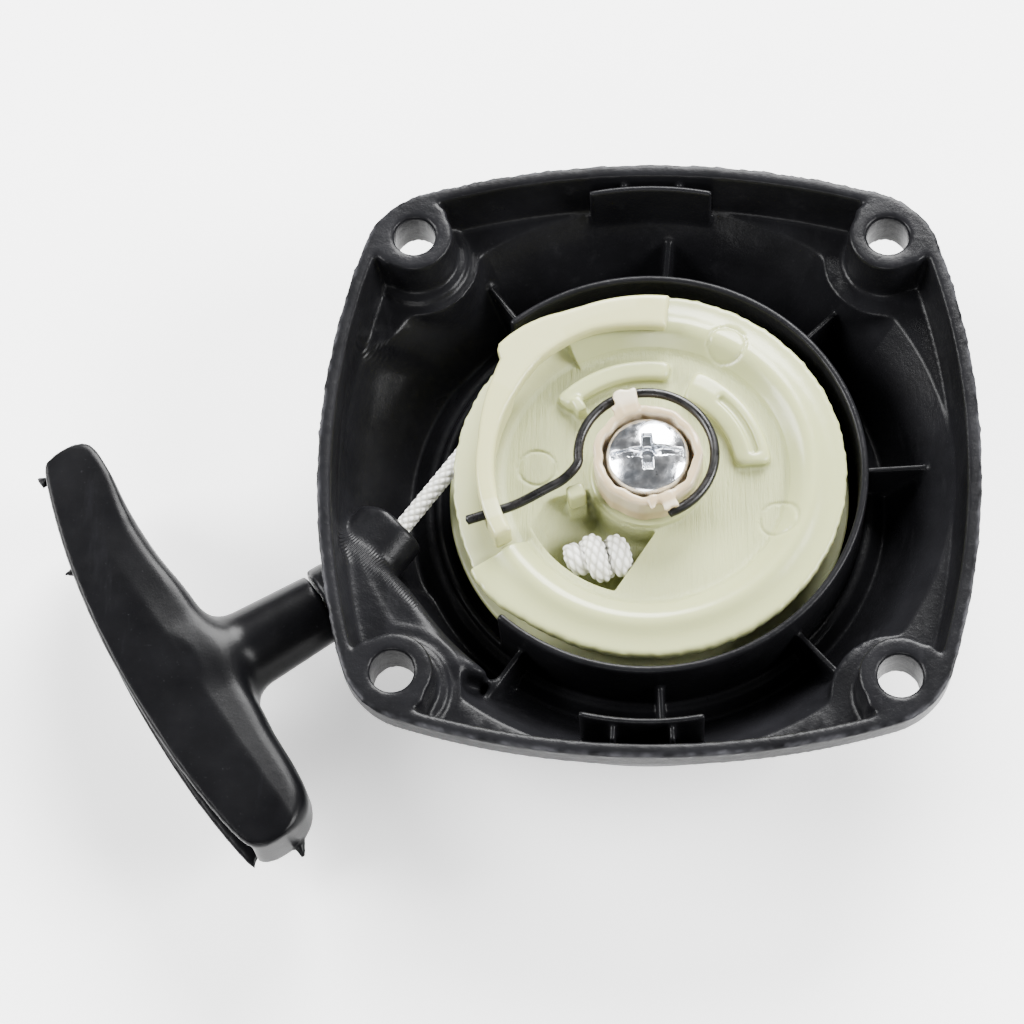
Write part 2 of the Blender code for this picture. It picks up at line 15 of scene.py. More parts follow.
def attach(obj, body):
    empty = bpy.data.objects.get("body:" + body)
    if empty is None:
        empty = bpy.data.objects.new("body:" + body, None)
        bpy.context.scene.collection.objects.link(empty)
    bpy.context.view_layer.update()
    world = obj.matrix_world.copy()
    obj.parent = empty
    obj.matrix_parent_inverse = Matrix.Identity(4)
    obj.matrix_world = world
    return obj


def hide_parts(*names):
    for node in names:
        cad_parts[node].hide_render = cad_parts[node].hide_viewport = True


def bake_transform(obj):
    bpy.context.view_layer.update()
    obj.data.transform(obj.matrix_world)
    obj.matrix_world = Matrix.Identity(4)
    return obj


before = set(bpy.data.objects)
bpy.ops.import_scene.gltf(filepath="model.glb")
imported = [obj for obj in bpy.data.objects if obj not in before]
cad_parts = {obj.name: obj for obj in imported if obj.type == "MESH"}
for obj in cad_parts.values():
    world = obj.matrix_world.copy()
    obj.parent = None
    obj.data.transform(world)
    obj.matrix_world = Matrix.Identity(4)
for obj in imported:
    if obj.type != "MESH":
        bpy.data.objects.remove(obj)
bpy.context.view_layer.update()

MM = 0.001

# ---- sizes shared with the CAD part, millimetres -------------------------------------------
DEPTH = 32.0                          # back face to rim
HALF_X, HALF_Y = 53.4, 52.8           # half the rim, at the middles of its bowed sides
SIDE_RADIUS, CORNER_RADIUS = 130.0, 13.5
BAND_LOW, SHELF_Z, FLOOR_Z = 27.4, 23.0, 8.0
RIM_WALL = 2.2
HOLES = [(39.5 * i, 39.0 * j) for i in (-1, 1) for j in (-1, 1)]
HOLE_RADIUS, BOSS_RADIUS, LOBE_RADIUS = 3.5, 6.4, 10.3
BOWL_TOP, BOWL_BOTTOM = 49.7, 39.6    # inner radii of the bowl at the shelf and at the floor
RING_RADIUS, RING_HALF, RING_TOP = 35.35, 0.66, 24.0
RING_CUT = (131.0, 228.0)             # sector in which the ring wall is cut low, for the rope
RIB_ANGLES = (86.2, 45.6, 3.9, -47.4, -86.4, -123.9, 126.7)
RIB_TOP = 18.0
POST_TOP = 21.9
SCOOP, SCOOP_RADIUS = (-41.5, 3.5), 19.8   # round hollow in the left side of the bowl
PLATEAU_EDGE = (-51.4, -13.9)         # a point on the milled edge of the lower left plateau
ROPE_Z, ROPE_RADIUS = 17.6, 1.5
PULL_ANGLE, LEAD_ANGLE = -147.0, -125.2
BEND = (-48.8, -19.9)                 # where the rope turns inside its guide
NECK_START = 5.4                      # from the bend to the handle's nose
GUIDE_RADIUS, NOZZLE_RADIUS = 4.8, 6.4
ROPE_BORE = 2.3
FLANGE_RADIUS, FLOOR_REEL, WEB_RADIUS = 32.5, 21.0, 32.2
LOWER_FLANGE_RADIUS, GROOVE_LOW, GROOVE_HIGH, CORE_RADIUS = 33.4, 13.4, 19.8, 23.0
HUB_INNER, HUB_OUTER = 6.5, 9.6
PAWL_PIVOT = (0.0, 28.2)
PAWL_LOW, PAWL_TOP = 24.3, 27.0
WIRE_RADIUS, WIRE_Z, LEG_Z, LEG_ANGLE = 0.75, 27.5, 25.1, 199.3
COLLAR_RADIUS, COLLAR_INNER, COLLAR_LOW, COLLAR_TOP = 9.0, 7.4, 22.3, 29.2
HEAD_RADIUS, HEAD_LOW, HEAD_TOP, DOME_RADIUS = 6.7, 25.2, 30.4, 13.0
GRIP_THICK = 18.0
MOST_TRIANGLES = 190000               # for any one piece


# ---- distance fields ------------------------------------------------------------------------
def smooth_min(a, b, k):
    """The union of two fields, with a fillet of about k."""
    h = np.clip(0.5 + 0.5 * (b - a) / k, 0.0, 1.0)
    return b + (a - b) * h - k * h * (1.0 - h)


def smooth_max(a, b, k):
    """What two fields share, with its edge rounded by about k."""
    return -smooth_min(-a, -b, k)


def slab(z, low, high):
    """The space between two heights."""
    return np.maximum(low - z, z - high)


def disc(x, y, centre, radius):
    """A round cylinder that stands upright."""
    return np.hypot(x - centre[0], y - centre[1]) - radius


def turned_by(x, y, angle):
    """Coordinates along and across a direction given in degrees."""
    c, s = cos(radians(angle)), sin(radians(angle))
    return x * c + y * s, y * c - x * s


def off_angle(x, y, middle, half):
    """About the distance, in millimetres, past a sector of half-width half degrees."""
    away = (np.degrees(np.arctan2(y, x)) - middle + 180.0) % 360.0 - 180.0
    return (np.abs(away) - half) * pi / 180.0 * np.hypot(x, y)


def along_line(x, y, z, start, end):
    """Distances along and aside from the line between two points, and the line's length."""
    a, d = Vector(start), Vector(end) - Vector(start)
    length = d.length
    d.normalize()
    px, py, pz = x - a.x, y - a.y, z - a.z
    along = px * d.x + py * d.y + pz * d.z
    aside = np.sqrt(np.maximum(px * px + py * py + pz * pz - along * along, 0.0))
    return along, aside, length


def rod(x, y, z, start, end, radius, k=0.6):
    """A round bar between two points, with rounded ends."""
    along, aside, length = along_line(x, y, z, start, end)
    return smooth_max(aside - radius, np.abs(along - length / 2) - length / 2, k)


def spike(x, y, z, start, end, size):
    """A small sharp nib, as a mould's parting line leaves behind."""
    along, aside, length = along_line(x, y, z, start, end)
    return np.maximum(aside - size * (1.0 - along / length), -along)


def ripple(angle, *parts):
    """A repeatable irregular wave round the circle: (waves, height, phase) for each part."""
    return sum(height * np.sin(angle * waves + phase) for waves, height, phase in parts)


def rim_distance(x, y):
    """Distance outside the housing's rounded square, whose sides are arcs of a large circle."""
    mean = (HALF_X + HALF_Y) / 2
    u, v = np.abs(x) * mean / HALF_X, np.abs(y) * mean / HALF_Y
    reach, span = SIDE_RADIUS - mean, SIDE_RADIUS - CORNER_RADIUS
    place = (-reach + (2 * span * span - reach * reach) ** 0.5) / 2
    side = np.maximum(np.hypot(u + reach, v), np.hypot(u, v + reach)) - span
    tilt = np.degrees(np.arctan2(v - place, u - place))
    edge = np.degrees(np.arctan2(place, place + reach))
    in_corner = (tilt > edge) & (tilt < 90.0 - edge)
    return np.where(in_corner, np.hypot(u - place, v - place), side) - CORNER_RADIUS


def from_bend(along, across):
    """A point on the rope's level, along and across the pull from where the rope turns."""
    x, y = turned_by(along, across, -PULL_ANGLE)
    return (BEND[0] + x, BEND[1] + y, ROPE_Z)


# ---- meshing --------------------------------------------------------------------------------
def net(value):
    """Vertices, in grid units, and quads of the surface where value changes sign."""
    shape = np.array(value.shape)
    value = value + 1e-4                  # a surface that lies exactly on the grid is moved off it
    corners, cells, flips, ends = [], [], [], []
    for axis in range(3):
        low = [slice(None)] * 3
        high = [slice(None)] * 3
        low[axis], high[axis] = slice(0, -1), slice(1, None)
        a, b = value[tuple(low)], value[tuple(high)]
        u, v = (axis + 1) % 3, (axis + 2) % 3
        at = np.argwhere((a < 0) != (b < 0))
        at = at[(at[:, u] > 0) & (at[:, v] > 0) & (at[:, u] < shape[u] - 1) & (at[:, v] < shape[v] - 1)]
        first, second = a[tuple(at.T)], b[tuple(at.T)]
        point = at.astype(float)
        point[:, axis] += first / (first - second)
        for du, dv in ((0, 0), (-1, 0), (-1, -1), (0, -1)):
            cell = at.copy()
            cell[:, u] += du
            cell[:, v] += dv
            cells.append(np.ravel_multi_index(cell.T, shape))
            corners.append(point)
        flips.append(first > 0)
        ends.append(len(at))
    _, index = np.unique(np.concatenate(cells), return_inverse=True)
    corners = np.concatenate(corners)
    count = np.bincount(index)
    spots = np.stack([np.bincount(index, weights=corners[:, i]) / count for i in range(3)], axis=1)
    quads, start = [], 0
    for n, flip in zip(ends, flips):
        quad = index[start:start + 4 * n].reshape(4, n).T
        quads.append(np.where(flip[:, None], quad[:, ::-1], quad))
        start += 4 * n
    return spots, np.concatenate(quads)


def finish_mesh(name, points, faces):
    """An object in the scene from points in millimetres and their faces."""
    mesh = bpy.data.meshes.new(name)
    mesh.from_pydata((points * MM).tolist(), [], faces.tolist())
    mesh.validate()
    made = bpy.data.objects.new(name, mesh)
    bpy.context.scene.collection.objects.link(made)
    mesh.shade_smooth()
    return made


def round_solid(name, field, steps, radii, heights, sector=None):
    """A field meshed on a grid of angles, radii and heights, so that turned edges stay clean."""
    if sector:
        angles = np.radians(np.linspace(sector[0], sector[1], steps))
    else:
        angles = np.arange(-1, steps + 2) * 2 * pi / steps
    radii, heights = np.array(radii, float), np.array(heights, float)
    x = radii[None, :, None] * np.cos(angles)[:, None, None]
    y = radii[None, :, None] * np.sin(angles)[:, None, None]
    value = field(x, y, heights[None, None, :])
    value = np.ascontiguousarray(np.broadcast_to(value, (len(angles), len(radii), len(heights))))
    spots, quads = net(value)
    if not sector:
        # the grid laps over itself by a few steps, and each angle is kept once
        wrapped = np.round((spots[:, 0] - 1.0) % steps, 6)
        low = spots[quads].min(axis=1)[:, 0]
        quads = quads[(low >= 1.0) & (low < steps + 1.0)]
        spots[:, 0] = wrapped + 1.0
    at = [np.interp(spots[:, i], np.arange(len(line)), line)
          for i, line in enumerate((angles, radii, heights))]
    points = np.stack([at[1] * np.cos(at[0]), at[1] * np.sin(at[0]), at[2]], axis=1)
    made = finish_mesh(name, points, quads)
    bm = bmesh.new()
    bm.from_mesh(made.data)
    bmesh.ops.remove_doubles(bm, verts=bm.verts, dist=0.000004)
    bmesh.ops.holes_fill(bm, edges=[e for e in bm.edges if e.is_boundary], sides=0)
    bmesh.ops.delete(bm, geom=[v for v in bm.verts if not v.link_faces], context="VERTS")
    bm.to_mesh(made.data)
    bm.free()
    return made


def square_solid(name, field, low, high, cell, place):
    """A field meshed on a square grid, then moved to its place by a matrix in millimetres."""
    grid = [low[i] + cell * np.arange(int(ceil((high[i] - low[i]) / cell)) + 1) for i in range(3)]
    x, y, z = np.meshgrid(*grid, indexing="ij", sparse=True)
    value = np.ascontiguousarray(np.broadcast_to(field(x, y, z), [len(line) for line in grid]))
    spots, quads = net(value)
    turn = np.array(place)
    points = (np.array(low) + spots * cell) @ turn[:3, :3].T + turn[:3, 3]
    return finish_mesh(name, points, quads)


def lines(*stretches):
    """Grid lines from stretches of (start, end, spacing), each going on from the last."""
    out = []
    for start, end, gap in stretches:
        count = max(1, int(round((end - start) / gap)))
        out.extend(start + (end - start) * i / count for i in range(count))
    out.append(stretches[-1][1])
    return out


def thin_out(made, most=MOST_TRIANGLES):
    """Collapses flat areas until the mesh has at most this many triangles."""
    triangles = sum(len(p.vertices) - 2 for p in made.data.polygons)
    if triangles > most:
        step = made.modifiers.new("thin", "DECIMATE")
        step.ratio = most / triangles
        graph = bpy.context.evaluated_depsgraph_get()
        mesh = bpy.data.meshes.new_from_object(made.evaluated_get(graph))
        made.modifiers.clear()
        made.data = mesh
    made.data.shade_smooth()


def per_point(made, name, values):
    """One number for each vertex, which the materials read by name."""
    layer = made.data.attributes.new(name, "FLOAT", "POINT")
    layer.data.foreach_set("value", np.asarray(values, np.float32))


def paint_shade_in_hollows(made, field, *reaches):
    """Paints shade into hollows: how deep in a hollow each point lies, 0 on open faces, towards 1 in
    deep corners, which the materials turn into a painted shade.
    """
    normal = np.zeros(len(made.data.vertices) * 3)
    made.data.vertices.foreach_get("normal", normal)
    at, normal = points_of(made), normal.reshape(-1, 3)
    shade = np.zeros(len(at))
    for reach in reaches:
        spot = at + normal * reach
        shade += np.clip(1.0 - field(*spot.T) / reach, 0.0, 1.0) / len(reaches)
    per_point(made, "hollow", shade)


def points_of(made):
    """The vertices of a piece, in millimetres."""
    co = np.zeros(len(made.data.vertices) * 3)
    made.data.vertices.foreach_get("co", co)
    return co.reshape(-1, 3) / MM


def put(made, look, slot, body, *nodes):
    """Gives a piece its material, the body it moves with and the nodes it replaces; the slot is not
    used.
    """
    made.data.materials.clear()
    made.data.materials.append(look)
    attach(made, body)
    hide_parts(*nodes)


# ---- materials ------------------------------------------------------------------------------
class Look:
    """A node material built up in steps; coordinates are the piece's own, in metres."""

    def __init__(self, name, roughness, metallic=0.0, **fixed):
        self.material = bpy.data.materials.new(name)
        self.material.use_nodes = True
        self.nodes = self.material.node_tree.nodes
        self.links = self.material.node_tree.links
        self.shader = self.nodes["Principled BSDF"]
        self.shader.inputs["Metallic"].default_value = metallic
        self.shader.inputs["Roughness"].default_value = roughness
        for socket, value in fixed.items():
            self.shader.inputs[socket.replace("_", " ")].default_value = value
        self.where = self.nodes.new("ShaderNodeTexCoord").outputs["Object"]
        self.normal = None

    def join(self, output, socket):
        """Wires an output to a socket."""
        self.links.new(output, socket)

    def noise(self, scale, detail=4.0, rough=0.55, stretch=None, turn=None):
        """Cloudy noise, stretched along an axis or turned by degrees where asked."""
        made = self.nodes.new("ShaderNodeTexNoise")
        made.inputs["Scale"].default_value = scale
        made.inputs["Detail"].default_value = detail
        made.inputs["Roughness"].default_value = rough
        source = self.where
        if stretch or turn:
            place = self.nodes.new("ShaderNodeMapping")
            place.inputs["Scale"].default_value = stretch or (1, 1, 1)
            place.inputs["Rotation"].default_value = [radians(a) for a in (turn or (0, 0, 0))]
            self.join(source, place.inputs["Vector"])
            source = place.outputs["Vector"]
        self.join(source, made.inputs["Vector"])
        return made.outputs["Fac"]

    def attribute(self, name):
        """A number stored for each vertex by per_point."""
        made = self.nodes.new("ShaderNodeAttribute")
        made.attribute_name = name
        return made.outputs["Fac"]

    def spread(self, value, low, high, to_low=0.0, to_high=1.0):
        """Maps the range low to high onto another, and clamps to it."""
        made = self.nodes.new("ShaderNodeMapRange")
        for i, number in enumerate((low, high, to_low, to_high)):
            made.inputs[i + 1].default_value = number
        self.join(value, made.inputs["Value"])
        return made.outputs["Result"]

    def mix(self, factor, a, b):
        """Between two colours, each a colour output or plain numbers."""
        made = self.nodes.new("ShaderNodeMix")
        made.data_type = "RGBA"
        self.join(factor, made.inputs["Factor"])
        for name, value in (("A", a), ("B", b)):
            socket = [s for s in made.inputs if s.name == name and s.type == "RGBA"][0]
            if isinstance(value, tuple):
                socket.default_value = (*value, 1.0)
            else:
                self.join(value, socket)
        return [s for s in made.outputs if s.type == "RGBA"][0]

    def math(self, operation, a, b):
        made = self.nodes.new("ShaderNodeMath")
        made.operation = operation
        for i, value in enumerate((a, b)):
            if isinstance(value, (int, float)):
                made.inputs[i].default_value = value
            else:
                self.join(value, made.inputs[i])
        return made.outputs["Value"]

    def stripes(self, direction, pitch):
        """Fine even ridges across a direction, such as a cutter leaves in a mould."""
        made = self.nodes.new("ShaderNodeVectorMath")
        made.operation = "DOT_PRODUCT"
        made.inputs[1].default_value = direction
        self.join(self.where, made.inputs[0])
        return self.math("SINE", self.math("MULTIPLY", made.outputs["Value"], 2 * pi / pitch), 0.0)

    def bump(self, height, distance, strength=1.0):
        """Relief from a height; each call lies on top of the ones before."""
        made = self.nodes.new("ShaderNodeBump")
        made.inputs["Distance"].default_value = distance
        made.inputs["Strength"].default_value = strength
        self.join(height, made.inputs["Height"])
        if self.normal:
            self.join(self.normal, made.inputs["Normal"])
        self.normal = made.outputs["Normal"]

    def done(self, colour=None, roughness=None):
        """Wires up what was made and returns the material."""
        if colour:
            self.join(colour, self.shader.inputs["Base Color"])
        if roughness:
            self.join(roughness, self.shader.inputs["Roughness"])
        if self.normal:
            self.join(self.normal, self.shader.inputs["Normal"])
        return self.material


def black_plastic(name, dark, light, scuff, grain, waves=0.35):
    """Moulded black plastic: cloudy tone, scuffs, paler worn edges and milled marks."""
    look = Look(name, 0.3, Specular_IOR_Level=0.1)
    cloud = look.spread(look.noise(90.0, 5.0), 0.35, 0.7)
    streak = look.spread(look.noise(240.0, 6.0, 0.7, (1.0, 0.16, 1.0), (0, 0, 24)), 0.58, 0.80)
    speck = look.spread(look.noise(1500.0, 3.0, 0.6), 0.66, 0.78)
    colour = look.mix(cloud, dark, light)
    colour = look.mix(look.math("MULTIPLY", streak, 0.45), colour, scuff)
    colour = look.mix(look.math("MULTIPLY", speck, 0.2), colour, (0.05, 0.05, 0.055))
    colour = look.mix(look.attribute("wear"), colour, (0.045, 0.045, 0.05))
    rough = look.math("ADD", look.spread(look.noise(130.0, 6.0), 0.3, 0.7, 0.27, 0.36),
                      look.math("MULTIPLY", look.attribute("wear"), 0.2))
    look.bump(look.noise(420.0, 4.0), 0.0003, waves)
    look.bump(look.noise(3200.0, 3.0, 0.6), 0.00005, grain)
    cuts = look.math("MULTIPLY", look.stripes((-0.8, 0.6, 0.0), 0.0005), look.attribute("milled"))
    look.bump(cuts, 0.00008, 0.7)
    return look.done(colour, rough)


def nylon(name, pale, deep, green, shadow, scratched=0.0):
    """Undyed nylon: a little light passes under the surface, and places with more material look
    yellower. Paler edges are a painted highlight, and darker hollows a painted shade.
    """
    look = Look(name, 0.35, Subsurface_Weight=0.3, Subsurface_Scale=0.0025, Specular_IOR_Level=0.4)
    look.shader.inputs["Subsurface Radius"].default_value = (1.0, 0.9, 0.6)
    cloud = look.spread(look.noise(70.0, 3.0, 0.5, (1, 1, 0.3)), 0.35, 0.68)
    colour = look.mix(cloud, pale, deep)
    # a deeper, yellower tone: on the reel's bead, on the pawl towards its bottom, and as painted shade
    # down the collar's side
    colour = look.mix(look.attribute("deep_tone"), colour, deep)
    colour = look.mix(look.attribute("floor"), colour, green)
    # painted highlight: paler along the flange's rim and the top edges
    colour = look.mix(look.attribute("edge"), colour, (0.86, 0.90, 0.80))
    # painted shade: the colour goes towards the shadow colour in hollows and deep corners
    colour = look.mix(look.attribute("hollow"), colour, shadow)
    dirt = look.spread(look.noise(260.0, 6.0, 0.7), 0.68, 0.80)
    colour = look.mix(look.math("MULTIPLY", dirt, 0.35), colour, (0.42, 0.34, 0.20))
    rough = look.spread(look.attribute("floor"), 0.0, 1.0, 0.24, 0.46)
    if scratched:
        for turn in (18, -52):
            scratch = look.noise(900.0, 5.0, 0.75, (1.0, 0.07, 1.0), (0, 0, turn))
            look.bump(look.math("MULTIPLY", scratch, look.attribute("floor")), 0.00030, scratched)
    look.bump(look.noise(300.0, 3.0), 0.0003, 0.18)
    return look.done(colour, rough)


def machined_metal(name, bright, dull, scales, rough, lines_left):
    """Metal with cloudy tone and roughness, and the fine lines of its making."""
    look = Look(name, 0.3, 1.0)
    tone = look.mix(look.spread(look.noise(scales[0]), 0.3, 0.7), bright, dull)
    look.bump(look.noise(*lines_left), 0.00004, 0.4)
    return look.done(tone, look.spread(look.noise(scales[1]), 0.3, 0.7, *rough))


def make_looks():
    """All the materials, by the name of their slot."""
    housing = black_plastic("housing_black", (0.0042, 0.0042, 0.0048), (0.0078, 0.0078, 0.0090),
                            (0.020, 0.020, 0.022), 0.5)
    handle = black_plastic("handle_black", (0.0018, 0.0018, 0.0022), (0.0036, 0.0036, 0.0042),
                           (0.010, 0.010, 0.012), 0.25, 0.08)
    reel = nylon("reel_nylon", (0.87, 0.89, 0.72), (0.86, 0.85, 0.54), (0.61, 0.69, 0.54),
                 (0.37, 0.39, 0.19), 1.0)
    pawl = nylon("pawl_nylon", (0.84, 0.86, 0.68), (0.80, 0.79, 0.48), (0.62, 0.66, 0.48),
                 (0.44, 0.44, 0.22))
    collar = nylon("collar_nylon", (0.88, 0.86, 0.79), (0.80, 0.73, 0.58), (0.80, 0.73, 0.58),
                   (0.42, 0.33, 0.20))

    wire = Look("wire_black", 0.3, Specular_IOR_Level=0.35)
    tone = wire.mix(wire.spread(wire.noise(500.0), 0.35, 0.7),
                    (0.0025, 0.0025, 0.0025), (0.010, 0.009, 0.009))
    wire.bump(wire.noise(1600.0, 4.0), 0.00006, 0.3)
    wire = wire.done(tone, wire.spread(wire.noise(700.0), 0.3, 0.7, 0.22, 0.42))

    zinc = Look("screw_zinc", 0.15, 1.0)
    tone = zinc.mix(zinc.spread(zinc.noise(320.0, 5.0), 0.35, 0.7),
                    (0.92, 0.93, 0.95), (0.62, 0.66, 0.72))
    tone = zinc.mix(zinc.spread(zinc.noise(900.0, 5.0, 0.7), 0.62, 0.74), tone, (0.20, 0.20, 0.22))
    zinc.bump(zinc.noise(500.0, 3.0), 0.00012, 0.45)
    zinc = zinc.done(tone, zinc.spread(zinc.noise(600.0, 4.0), 0.3, 0.7, 0.08, 0.28))

    rope = Look("rope_white", 0.75, Sheen_Weight=0.25)
    # painted shade: the braid's crevices are dark, its raised lumps pale
    tone = rope.mix(rope.attribute("raised"), (0.42, 0.41, 0.35), (0.92, 0.92, 0.89))
    rope.bump(rope.noise(9000.0, 2.0, 0.6, (1.0, 1.0, 0.2)), 0.00005, 0.5)
    rope = rope.done(tone)

    brass = machined_metal("insert_brass", (0.72, 0.53, 0.26), (0.55, 0.38, 0.17), (300.0, 500.0),
                           (0.2, 0.42), (1500.0, 3.0, 0.5, (1, 1, 6)))
    steel = machined_metal("spring_steel", (0.40, 0.41, 0.45), (0.24, 0.23, 0.25), (200.0, 400.0),
                           (0.22, 0.45), (900.0, 4.0, 0.6, (1, 1, 8)))
    return {"black_plastic": housing, "handle_plastic": handle, "natural_nylon": reel,
            "pawl_nylon": pawl, "cream_nylon": collar, "oiled_wire": wire, "bright_zinc": zinc,
            "white_rope": rope, "brass": brass, "spring_steel": steel}


LOOKS = make_looks()


# ---- housing --------------------------------------------------------------------------------
def plateau_edge(x, y):
    """Distance past the straight, milled edge of the plateau beside the rope's guide."""
    return (x - PLATEAU_EDGE[0]) * 0.6 + (y - PLATEAU_EDGE[1]) * 0.8


def housing_field(x, y, z):
    r, angle = np.hypot(x, y), np.arctan2(y, x)
    rim = rim_distance(x, y)
    # moulding flash: an irregular lip along the top outer edge
    ragged = ripple(angle, (37, 0.08, 0.3), (83, 0.07, 1.9), (151, 0.06, 4.0), (211, 0.05, 2.2))
    lip = np.exp(-((DEPTH - z) / 0.5) ** 2)
    band = smooth_max(rim - lip * (0.12 + ragged), slab(z, BAND_LOW, DEPTH), 0.5)
    plate = smooth_max(rim + 0.9 + (27.6 - z) * 0.25, slab(z, SHELF_Z - 2.2, 28.0), 0.8)
    outer = np.minimum(BOWL_BOTTOM + 2.0 + (z - 6.0) * 0.582, BOWL_TOP + 1.5)
    scoop_slope = BOWL_BOTTOM + 0.6 + (z - FLOOR_Z) * 0.98
    bowl = smooth_max((r - outer) * 0.87, slab(z, 6.0, 28.0), 1.2)
    nose = smooth_max(r - 37.2, slab(z, 0.0, 9.0), 1.4)
    bulge = smooth_max(disc(x, y, SCOOP, SCOOP_RADIUS + 2.2), rim + 1.6, 2.0)
    bulge = smooth_max(bulge, (r - scoop_slope - 2.8) * 0.71, 1.5)
    bulge = smooth_max(bulge, slab(z, 7.0, 28.0), 1.5)
    shell = smooth_min(smooth_min(band, plate, 0.6), smooth_min(bowl, nose, 1.0), 0.8)
    shell = smooth_min(shell, bulge, 1.0)

    # the rope's guide and nozzle
    lead_x, lead_y = turned_by(13.3, 0.0, -LEAD_ANGLE)
    guide_end = (BEND[0] - lead_x, BEND[1] - lead_y, ROPE_Z)
    root_x, root_y = turned_by(4.6, 0.0, -LEAD_ANGLE)
    guide_root = (BEND[0] - root_x, BEND[1] - root_y, ROPE_Z)
    bend = (*BEND, ROPE_Z)
    outlet = rod(x, y, z, from_bend(1.5, 0.0), from_bend(NECK_START - 0.8, 0.0), NOZZLE_RADIUS)
    shell = smooth_min(shell, outlet, 1.0)

    # hollows: rim pocket round the bosses, bowl round the lobes, spring well, side scoop
    boss, lobe, step = 1e3, 1e3, 1e3
    for hx, hy in HOLES:
        u, v = turned_by(x - hx, y - hy, np.degrees(np.arctan2(hy, hx)))
        here = disc(x, y, (hx, hy), 0.0)
        corner = smooth_max(np.abs(v) - BOSS_RADIUS - 0.4, -u, 0.5)
        boss = np.minimum(boss, smooth_min(here - BOSS_RADIUS - (DEPTH - z) * 0.02, corner, 2.0))
        lobe = np.minimum(lobe, here - LOBE_RADIUS - (SHELF_Z - z) * 0.05)
        step = np.minimum(step, here - 8.5) if hx < 0 else step
    pocket_floor = SHELF_Z + 1.1 / (1.0 + np.exp(np.clip(step * 6.0, -30, 30)))
    pocket = smooth_max(rim + RIM_WALL + (DEPTH - z) * 0.155, pocket_floor - z, 0.8)
    pocket = smooth_max(pocket, -boss, 1.0)
    inner = BOWL_BOTTOM + (z - FLOOR_Z) * 0.673
    hollow = smooth_max((r - inner) * 0.83, slab(z, FLOOR_Z, SHELF_Z + 1.5), 1.0)
    hollow = smooth_max(hollow, -lobe, 0.9)
    well = smooth_max(r - 33.6, slab(z, 3.0, FLOOR_Z + 3.0), 0.8)
    scoop = smooth_max(disc(x, y, SCOOP, SCOOP_RADIUS), rim + 3.5, 2.0)
    scoop = smooth_max(scoop, (r - scoop_slope) * 0.71, 2.5)
    scoop = smooth_max(scoop, slab(z, FLOOR_Z, SHELF_Z + 3.0), 1.5)
    shell = smooth_max(shell, -np.minimum(np.minimum(pocket, hollow), well), 0.6)
    shell = smooth_max(shell, -scoop, 3.0)

    # ring wall round the reel, its foot, and the ribs out to the bowl
    ring = smooth_max(np.abs(r - RING_RADIUS) - RING_HALF, slab(z, FLOOR_Z - 1.5, RING_TOP), 0.5)
    cut_half = (RING_CUT[1] - RING_CUT[0]) / 2
    ring_cut = smooth_max(off_angle(x, y, RING_CUT[0] + cut_half, cut_half), 11.0 - z, 0.6)
    ring = smooth_max(ring, -ring_cut, 0.4)
    foot = np.abs(r - 36.0) - 1.6 - np.maximum(10.2 - z, 0.0)
    foot = smooth_max(foot, slab(z, FLOOR_Z - 1.5, 10.2), 0.4)
    ring = smooth_min(ring, foot, 0.5)
    for angle_here in RIB_ANGLES:
        u, v = turned_by(x, y, angle_here)
        rib = smooth_max(np.abs(v) - 0.55, np.maximum(35.0 - u, slab(z, FLOOR_Z - 1.0, RIB_TOP)), 0.35)
        ring = smooth_min(ring, np.maximum(rib, bowl + 0.6), 0.5)
    shell = smooth_min(shell, ring, 0.5)

    # locating tabs and their webs, and the centre post
    for middle, radius, low, high, webs in ((90.0, 48.75, 20.6, DEPTH - 0.8, (-4.5, 4.8)),
                                            (-90.5, 46.35, 17.2, DEPTH - 1.5, (-4.9, 4.4))):
        tab = smooth_max(np.abs(r - radius) - 0.5, off_angle(x, y, middle, 12.2), 0.4)
        shell = smooth_min(shell, smooth_max(tab, slab(z, low, high), 0.4), 0.4)
        sign = 1.0 if middle > 0 else -1.0
        for wx in webs:
            web = np.maximum(np.abs(x - wx) - 0.45, np.abs(y * sign - radius - 1.3) - 1.6)
            shell = smooth_min(shell, smooth_max(web, slab(z, 23.0, high - 1.0), 0.3), 0.3)
    shell = smooth_min(shell, smooth_max(r - 6.0, slab(z, 2.0, POST_TOP), 0.5), 0.6)

    # guide, the ridge beside it, bores and screw holes
    side_x, side_y = turned_by(0.0, -3.4, -LEAD_ANGLE)
    beside = [(p[0] + side_x, p[1] + side_y, ROPE_Z - 0.2) for p in (guide_end, guide_root)]
    guide = rod(x, y, z, guide_end, guide_root, GUIDE_RADIUS, 0.8)
    guide = smooth_min(guide, rod(x, y, z, *beside, 4.4, 1.2), 2.5)
    shell = smooth_min(shell, np.maximum(guide, rim + 1.0), 0.8)
    shelf = smooth_max(plateau_edge(x, y) - 2.8, 43.2 - r, 2.5)
    by_hole = np.clip((9.0 - disc(x, y, HOLES[0], 0.0)) / 2.0, 0.0, 1.0)
    shelf_low = 12.0 + (SHELF_Z - 14.2) * by_hole
    shelf = smooth_max(smooth_max(shelf, -36.0 - y, 2.0), slab(z, shelf_low, SHELF_Z + 0.3), 2.6)
    shell = smooth_min(shell, np.maximum(shelf, rim + 1.0), 1.5)
    far_x, far_y = turned_by(16.0, 0.0, -LEAD_ANGLE)
    far = (BEND[0] - far_x, BEND[1] - far_y, ROPE_Z)
    turn = np.sqrt((x - BEND[0]) ** 2 + (y - BEND[1]) ** 2 + (z - ROPE_Z) ** 2)
    bores = np.minimum(rod(x, y, z, far, bend, ROPE_BORE, 0.1),
                       rod(x, y, z, bend, from_bend(14.0, 0.0), ROPE_BORE, 0.1))
    bores = np.minimum(bores, turn - ROPE_BORE - 0.1)
